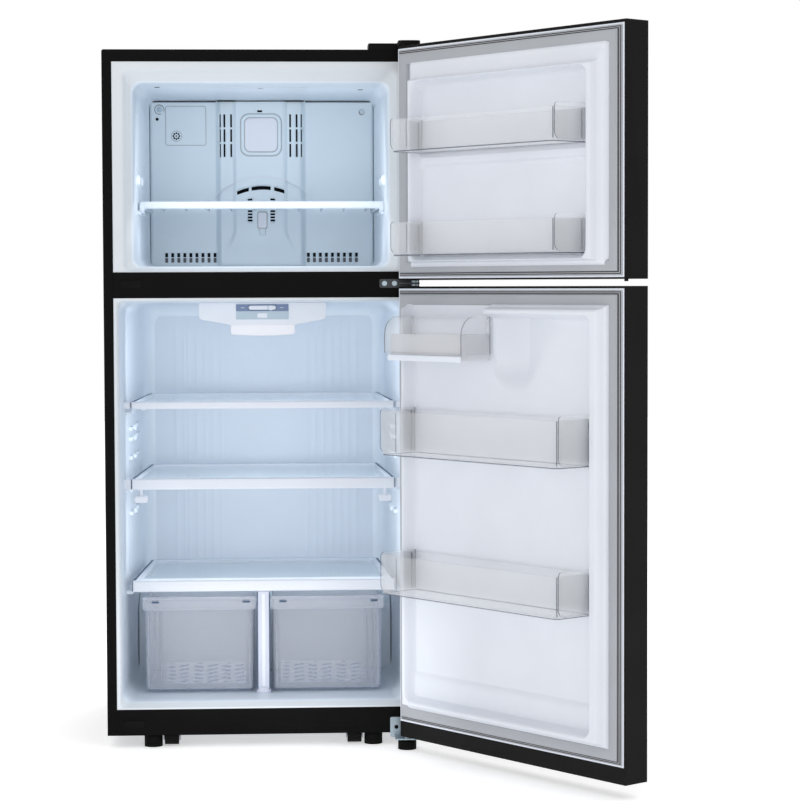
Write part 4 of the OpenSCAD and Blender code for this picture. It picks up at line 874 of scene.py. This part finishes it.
def tub_rings(x0, x1, y0, y1, z0, z1, front_r, back_r, draft):
    """Rings of an open tub: outside from the floor up, then inside down."""

    def ring(g, z, lean):
        rf, rb = max(0.6, front_r - g), max(0.6, back_r - g)
        c = corner_ring(x0 + g + lean, x1 - g - lean, y0 + g, y1 - g - lean, (rb, rb, rf, rf), 5)
        return [(u, v, z) for u, v in c]

    outside = [ring(7, z0, draft), ring(3, z0 + 1, draft), ring(0.8, z0 + 3.5, draft)]
    outside += [ring(0, z0 + 8, draft * 0.95), ring(0, z1 - 1.2, 0), ring(0.5, z1, 0)]
    wall = TUB_WALL
    inside = [ring(wall - 0.4, z1, 0), ring(wall, z1 - 1.2, 0), ring(wall, z0 + 8, draft * 0.95)]
    inside += [ring(wall + 2.5, z0 + wall + 1, draft), ring(wall + 7, z0 + wall, draft)]
    return outside + inside


def tub(name, rings, mats, edge_bands=(1, 5)):
    """Thin open tub whose lower edge and rim take the second material."""
    bands = [int(i in edge_bands) for i in range(len(rings) - 1)]
    return loft(name, rings, mats, bands, angle=50)


def drawer(name, x0, x1, outer_side):
    """Clear drawer with a handle band, upright ribs and a waved lower front; its lower edge, rim, rib sides
    and wave dashes are painted shade.

    outer_side is -1 when its outer side is at x0, and 1 when it is at x1.
    """
    outer, inner = (x0, x1) if outer_side < 0 else (x1, x0)
    # The drawer's plastic, and the painted shade for its edges.
    mats = [DRAWER, DRAWER_EDGE_SHADE]
    parts = [
        tub(name + "_tub", drawer_rings(x0 + 4, x1 - 4, 175, 474, 116, 342), mats, (0, 1, 5)),
        slab(name + "_band", x0, x1, 318, 350, "y", 164, 176, mats, r=6),
        slab(name + "_lip", x0, x1, 344, 350, "y", 160, 178, mats, r=2.5),
    ]
    ribs = [outer - outer_side * (14 + 15 * i) for i in range(3)] + [inner + outer_side * 16]
    for x in ribs:
        parts.append(slab(name + "_rib", x - 1.4, x + 1.4, 128, 312, "y", 171.5, 176, mats, r=1.3, rim=1))
    parts.append(wave_panel(name, *sorted((outer - outer_side * 58, inner + outer_side * 26)), mats))
    whole = join(parts, name + "_body")
    fit(whole, name, "clear_plastic", name)
    for x in (x0 + 22, x1 - 32):
        tab = slab(name + "_tab", x, x + 18, 335, 339.5, "y", 162.4, 166, [SHADE_BLUE], r=2)
        fit(tab, name, "clear_plastic")


def drawer_rings(x0, x1, y0, y1, z0, z1):
    """Tub rings with the round corners at the front, facing -Y."""
    rings = tub_rings(x0, x1, -y1, -y0, z0, z1, 14, 6, 3)
    return [[(x, -y, z) for x, y, z in reversed(ring)] for ring in rings]


def wave_panel(name, x0, x1, mats):
    """Embossed rows of shallow waves on the lower front, with dashes of painted shade along the crests."""

    def height(x, z):
        rows = math.sin((z - 137 + 2.2 * math.sin((x - x0) / 11)) / 9.5 * 2 * math.pi)
        edge = smooth(inset(x, z, (x0, x1, 134, 188), 4) / 5)
        return 1.3 * max(0.0, rows) * edge

    def dash(x, z):
        return int(height(x, z) > 0.8 and math.sin((x - x0) / 5.5) > -0.4)

    us, vs = lines(x0, x1, 4), lines(134, 188, 1.6)
    return relief(name + "_waves", us, vs, height, lambda x, z, h: (x, 174.4 - h, z), mats, angle=70,
                  index=dash)


def make_crisper():
    """Two drawers and the post between them."""
    drawer("drawer_left", -662, -385, -1)
    drawer("drawer_right", -349, -70, 1)
    parts = [
        slab("post_face", -380, -352, 110, 361.6, "y", 169, 181, [LAVENDER], r=(9, 9, 3, 3)),
        slab("post_web", -369, -363, 110, 361.6, "y", 180, 479, [LAVENDER], r=1),
        slab("post_rail", -378, -354, 357, 361.6, "y", 180, 479, [LAVENDER], r=1),
        post_foot(-366, 175, 110),
    ]
    fit(join(parts, "crisper_post_body"), "cabinet", "white_plastic", "crisper_post", bevel=1.2)
    details = (
        # name, x0, x1, z0, z1, front and back Y, material, corner radius, bevel
        ("post_groove", (-370, -362, 126, 356), (168.2, 170), WHITE, 3.5, 0.4),
        ("post_shoe", (-376, -356, 112, 118), (167.4, 170), SHADE_BLUE, 2.9, 0),
        # Dark lines down both edges of the post: painted shade.
        ("post_shade_line", (-382, -379.5, 118, 358), (168, 182), SHADE_BLUE, 1.1, 0),
        ("post_shade_line", (-352.5, -350, 118, 358), (168, 182), SHADE_BLUE, 1.1, 0),
    )
    for name, rect, depth, mat, r, bevel in details:
        fit(slab(name, *rect, "y", *depth, [mat], r=r), "cabinet", "white_plastic", bevel=bevel)


def post_foot(x, y, z):
    """Low round plinth under the post."""
    rings = []
    for r, h in ((17, 0), (18, 2), (17.5, 9), (14, 14), (8, 16)):
        rings.append([(x + r * math.cos(a), y + 0.62 * r * math.sin(a), z + h) for a in turns(28)])
    return loft("post_foot", rings, [LAVENDER])


# -------- doors


def sweep_ring(name, x0, x1, z0, z1, profile, mats, bands):
    """Rectangular ring with mitred corners from an (inset, height) profile."""
    rings = []
    for g, h in profile:
        corners = ((x0 + g, z0 + g), (x1 - g, z0 + g), (x1 - g, z1 - g), (x0 + g, z1 - g))
        rings.append([(u, DOOR_IN + h, v) for u, v in corners])
    return loft(name, rings, mats, bands, start=False, end=False, angle=40)


def gasket(name, z0, z1, body):
    """Magnetic gasket: a small outer ridge, two fine grooves in painted shade and a wide soft bulb."""
    profile = [(0, 0), (0, 2.5), (0.8, 3.4), (2.6, 3.4), (3.2, 1.6), (4.4, 1.6), (5, 4.6)]
    profile += [(6.6, 5.4), (7.2, 3.2), (8.6, 3.2), (9.2, 8.6), (11, 10.6), (15, 11.5), (26, 11.5)]
    profile += [(31, 10.6), (34, 8.2), (36, 3), (36.5, 0)]
    # The bands of the two grooves take the painted groove shade.
    bands = [1 if 3 <= i <= 5 or 7 <= i <= 9 else 0 for i in range(len(profile) - 1)]
    ring = sweep_ring(name, -733, 9, z0, z1, profile, [GASKET, GROOVE_SHADE], bands)
    lip = [(0, 0.2), (0.6, 1.2), (3.8, 1.2), (4.2, 0.2)]
    edge = sweep_ring(name + "_edge", -737, 13, z0 - 4, z1 + 4, lip, [WHITE], [0] * 3)
    fit(ring, body, "gasket", body + "_gasket", door=True)
    fit(edge, body, "gasket", door=True)


def rise(d, steps):
    """Height at distance d from an edge, eased between (distance, height) steps."""
    pairs = zip(steps, steps[1:])
    return sum((h1 - h0) * smooth((d - d0) / (d1 - d0)) for (d0, h0), (d1, h1) in pairs)


def panel_wall(x, z, rect, free, hinge, low, top):
    """Height of a door panel's four walls, each with its own steps."""
    u0, u1, v0, v1 = rect
    return min(rise(x - u0, free), rise(u1 - x, hinge), rise(z - v0, low), rise(v1 - z, top))


def freezer_panel_height(x, z):
    """Inner panel of the freezer door above its flange."""
    side = ((0, 0), (30, 18), (40, 39))
    low = ((0, 0), (18, 20), (24, 39))
    top = ((0, 0), (24, 13), (54, 20), (62, 39))
    wall = panel_wall(x, z, (-706, -26, 1146, 1650), side, side, low, top)
    upper = inset(x, z, (-654, -74, 1408, 1586), 24)
    lower = inset(x, z, (-654, -74, 1172, 1396), 24)
    both = inset(x, z, (-654, -74, 1172, 1586), 24)
    pocket = 24.5 * smooth((both + 5) / 14) + 8 * smooth(max(upper, lower) / 9)
    return max(0.0, wall - pocket)


def fridge_panel_height(x, z):
    """Inner panel of the fridge door, with the scoop beside the dairy bin."""
    free = ((0, 0), (8, 18), (18, 39))
    hinge = ((0, 0), (3, 18), (10, 39))
    low = ((0, 0), (14, 18), (22, 39))
    top = ((0, 0), (9, 18), (17, 39))
    wall = panel_wall(x, z, (-704, -29, 100, 1074), free, hinge, low, top)
    pocket = 32.5 * smooth((inset(x, z, (-664, -48, 134, 1044), 18) + 6) / 14)
    over_lid = smooth((x + 328) / 6) * smooth((-40 - x) / 6) * smooth((z - 1036) / 4)
    ledge = over_lid * max(0.0, wall - pocket - 7.5)
    inside = smooth((x + 664) / 12) * smooth((-46 - x) / 12) * smooth((z - 134) / 10)
    low_step = 5 * smooth((200 - z) / 12) * inside
    return max(0.0, wall - pocket) - ledge - scoop(x, z) + low_step


def scoop(x, z):
    """Hollow that narrows to a point, deepest along one upright line."""
    low, high, deep_x = 872, 1044, -424
    if not low < z < high + 8:
        return 0.0
    left = 96 * math.sqrt(max(0.0, 1 - max(0.0, (932 - z) / 60) ** 2))
    right = 14 + 130 * (z - low) / (high - low)
    across = (x - deep_x) / max(left, 1) if x > deep_x else (deep_x - x) / right
    if across >= 1:
        return 0.0
    depth = 24 * smooth((z - low) / 60) * smooth((high + 8 - z) / 14)
    if x > deep_x:
        return depth * (1 - across ** 3) ** 0.6
    return depth * (1 - across) ** 1.5


def door_panel(name, zs, height, body, x_marks, z_marks):
    """Inner panel of a door; it also stands for the foam that it covers."""
    us = lines(-730, -10, 9, around(*x_marks))
    vs = lines(*zs, 11, around(*z_marks))
    panel = relief(name, us, vs, height, lambda x, z, h: (x, DOOR_IN + h, z), [DOOR_LINER], angle=60)
    thicken(panel, LINER_SHEET, 1)
    fit(panel, body, "door_liner", body + "_liner", body + "_foam", door=True)


def grip_cup(body, z0, depth):
    """Black cup that lines the finger grip in a door's edge."""
    outline = corner_ring(-702, -552, -22, -4, 5)
    rings = [[(x, y, z) for x, y in outline] for z in (z0, z0 + depth)]
    cup = loft(body + "_grip", rings, [BLACK_PLASTIC], start=False)
    thicken(cup, 1, 0)
    fit(cup, body, "black_steel", door=True)


def clear_bin(name, x0, x1, y1, z0, z1):
    """Clear door bin with raised ends, hook ribs and fine edges in painted shade."""
    mats = [CLEAR, CLEAR_EDGE_SHADE]
    parts = [tub(name + "_tub", tub_rings(x0, x1, BIN_BACK_Y, y1, z0, z1, 20, 2, 2), mats)]
    # A dark line down the front corner: painted shade.
    corner = corner_ring(x0 + 5, x0 + 7, y1 - 7.6, y1 - 5.6, 0.9, 2)
    parts.append(prism(name + "_corner", corner, "z", z0 + 8, z1 - 1, [CLEAR_EDGE_SHADE]))
    for x, top in ((x0 + 0.4, z1 + 10), (x1 - 2.8, z1 + 4)):
        rect = (47, y1 - 7, z0 + 6, top)
        parts.append(slab(name + "_end_wall", *rect, "x", x, x + 2.4, mats, r=(4, 16, 10, 3), rim=1))
    for x in (x0 + 3, x1 - 5):
        parts.append(slab(name + "_hook", 58, 61, z0 + 10, z1 - 4, "x", x, x + 2.5, mats, r=1, rim=1))
    rect = (x1 - 64, x1 - 62, z0 + 10, z1 - 3)
    parts.append(slab(name + "_seam", *rect, "y", y1 - 3.4, y1 - 2.2, mats, r=0.8, rim=1))
    fit(join(parts, name + "_body"), name, "clear_plastic", name, door=True)


def make_dairy():
    """Dairy bin and its clear hood."""
    mats = [DAIRY, DAIRY]
    parts = [tub("dairy_tray", tub_rings(-318, -57, BIN_BACK_Y, 132, 938, 1000, 16, 2, 0), mats)]
    for x in (-318, -60):
        parts.append(slab("dairy_ear", 49.8, 56.2, 990, 1039, "x", x, x + 3, mats, r=(1, 1, 3, 3)))
    pin = circle(53, 1036, 2.4, 20)
    parts += [prism("dairy_pin", pin, "x", x0, x1, mats) for x0, x1 in ((-322.6, -317), (-58, -52.4))]
    fit(join(parts, "dairy_tray_body"), "dairy_bin", "white_plastic", "dairy_bin", door=True)
    band = slab("dairy_band", -316, -59, 938.5, 952, "y", 131.6, 134.6, [WHITE], r=3)
    fit(band, "dairy_bin", "white_plastic", door=True, bevel=0.8)

    # The hood's side rims and front lip take the painted edge shade.
    mats = [CLEAR, CLEAR_EDGE_SHADE]
    outer, inner = hood_path(137, 1042, 42), hood_path(134.8, 1039.8, 39.8)
    parts = [prism("hood_sheet", outer + list(reversed(inner)), "x", -321, -54, mats)]
    outline = outer + [(HOOD_BACK_Y, HOOD_LOW_Z)]
    parts += [prism("hood_side", outline, "x", x, x + 2.8, mats, rim=1) for x in (-323, -54.2)]
    parts.append(slab("hood_lip", -321, -54, 955, 957.5, "y", 134.8, 138, mats, r=1, rim=1))
    fit(join(parts, "dairy_hood"), "dairy_lid", "clear_plastic", "dairy_lid", door=True)


def hood_path(y1, z1, r):
    """Side view of the hood: flat top, round shoulder, upright front."""
    return [(HOOD_BACK_Y, z1), *arc(y1 - r, z1 - r, r, 90, -90, 12), (y1, HOOD_LOW_Z)]


def make_doors():
    """Gaskets, grips, inner panels and bins of both doors."""
    gasket("freezer_gasket_ring", FREEZER_DOOR_Z[0] + 8, FREEZER_DOOR_Z[1] - 11, "freezer_door")
    gasket("fridge_gasket_ring", 74, FRIDGE_DOOR_Z[1] - 9, "fridge_door")
    grip_cup("freezer_door", FREEZER_DOOR_Z[0], 22)
    grip_cup("fridge_door", FRIDGE_DOOR_Z[1], -22)
    x_marks = (-704, -694, -672, -664, -654, -74, -62, -48, -36, -28)
    door_panel("freezer_door_panel", (1137, 1662), freezer_panel_height, "freezer_door", x_marks,
               (1150, 1166, 1174, 1396, 1406, 1586, 1594, 1626, 1646))
    door_panel("fridge_door_panel", (78, 1096), fridge_panel_height, "fridge_door", x_marks + (-328, -424),
               (104, 118, 134, 200, 1044, 1062, 1072))
    clear_bin("freezer_bin_upper", -634, -82, 150, 1419, 1495)
    clear_bin("freezer_bin_lower", -634, -82, 150, 1180, 1257)
    clear_bin("fridge_bin_upper", -656, -53, 160, 717, 822)
    clear_bin("fridge_bin_lower", -656, -53, 160, 392, 486)
    make_dairy()


def make_hole_caps():
    """Caps over the hinge holes of the side that has no hinge."""
    for z, nodes in ((1117.5, ("hole_caps",)), (58, ())):
        rect = (-702.5, -650.5, z - 9, z + 9)
        cap = slab("hole_cap", *rect, "y", FRONT_Y - 2.4, FRONT_Y, [CAP_PLASTIC], r=8.5)
        fit(cap, "cabinet", "black_plastic", *nodes, bevel=1.1)


def make_hinge_details():
    """Bright sleeves on the middle hinge's pin, and the freezer door's stop."""
    for z0, z1 in ((1111, 1115.8), (1119.2, 1124)):
        sleeve = prism("hinge_sleeve", circle(0, 0, 8.5, 24), "z", z0, z1, [ZINC])
        fit(sleeve, "cabinet", "zinc", bevel=0.4)
    low = FREEZER_DOOR_Z[0]
    lug = prism("door_stop", circle(-732, 26, 4.5, 24), "z", low - 5, low + 1, [BLACK_PLASTIC])
    fit(lug, "freezer_door", "black_plastic", door=True, bevel=0.6)


# -------- stage and light


def area_light(name, position, target, size, power):
    """Soft light that shines from a position towards a target, in metres."""
    data = bpy.data.lights.new(name, "AREA")
    data.shape = "RECTANGLE"
    data.size, data.size_y = size
    data.energy = power
    obj = bpy.data.objects.new(name, data)
    obj.location = position
    obj.rotation_euler = (Vector(target) - Vector(position)).to_track_quat("-Z", "Y").to_euler()
    obj.visible_camera = False
    scene.collection.objects.link(obj)


def make_stage():
    """White studio: pale floor, even surroundings and soft lights."""
    half = 14000
    corners = [(-half, -half, -0.5), (half, -half, -0.5), (half, half, -0.5), (-half, half, -0.5)]
    floor = build("studio_floor", corners, [(0, 1, 2, 3)], [FLOOR])
    glow = FLOOR.node_tree.nodes["Principled BSDF"].inputs
    glow["Emission Color"].default_value = (1, 1, 1, 1)
    glow["Emission Strength"].default_value = 0.42
    make_world(0.8)
    scene.view_settings.view_transform = "Standard"
    area_light("key_light", (-0.9, -5.2, 1.7), (-0.3, 0.3, 0.95), (2.6, 2.0), 12)
    area_light("rear_light", (0.5, 4.5, 3.2), (-0.3, 0.4, 0.9), (3, 2), 60)
    area_light("freezer_light", (-0.365, 0.1, 1.38), (-0.365, 0.6, 1.2), (0.56, 0.34), 0.66)
    area_light("freezer_low_light", (-0.365, 0.19, 1.215), (-0.365, 0.6, 1.24), (0.56, 0.06), 0.2)
    area_light("fridge_light", (-0.365, 0.19, 0.71), (-0.365, 0.7, 0.68), (0.64, 0.66), 1.75)
    area_light("drawer_light", (-0.365, -0.25, 0.2), (-0.365, 0.4, 0.24), (0.5, 0.2), 0.58)


def make_world(strength):
    """White surroundings: dimmer as a light than they look behind the object."""
    world = bpy.data.worlds.new("studio_world")
    world.use_nodes = True
    tree = world.node_tree
    background = tree.nodes["Background"]
    background.inputs["Color"].default_value = (1, 1, 1, 1)
    seen = add_node(tree, "LightPath").outputs["Is Camera Ray"]
    level = add_node(tree, "MapRange", seen, "Value", To_Min=strength, To_Max=1.0)
    tree.links.new(level.outputs["Result"], background.inputs["Strength"])
    scene.world = world


def make_camera():
    """Camera at the viewpoint of a long lens a few metres in front."""
    yaw, pitch, roll = (math.radians(angle) for angle in CAMERA_TURN)
    turn = Matrix.Rotation(-yaw, 4, "Z") @ Matrix.Rotation(math.pi / 2 - pitch, 4, "X")
    data = bpy.data.cameras.new("camera")
    data.sensor_width = 36
    data.lens = CAMERA_LENS
    camera = bpy.data.objects.new("camera", data)
    camera.matrix_world = Matrix.Translation(CAMERA_AT) @ turn @ Matrix.Rotation(roll, 4, "Z")
    scene.collection.objects.link(camera)
    scene.camera = camera


dress_nodes()
make_case()
make_rear_panel()
make_freezer_liner()
make_fridge_liner()
make_rear_cover()
make_shelves()
make_control_box()
make_crisper()
make_hole_caps()
make_doors()
make_hinge_details()
make_stage()
make_camera()
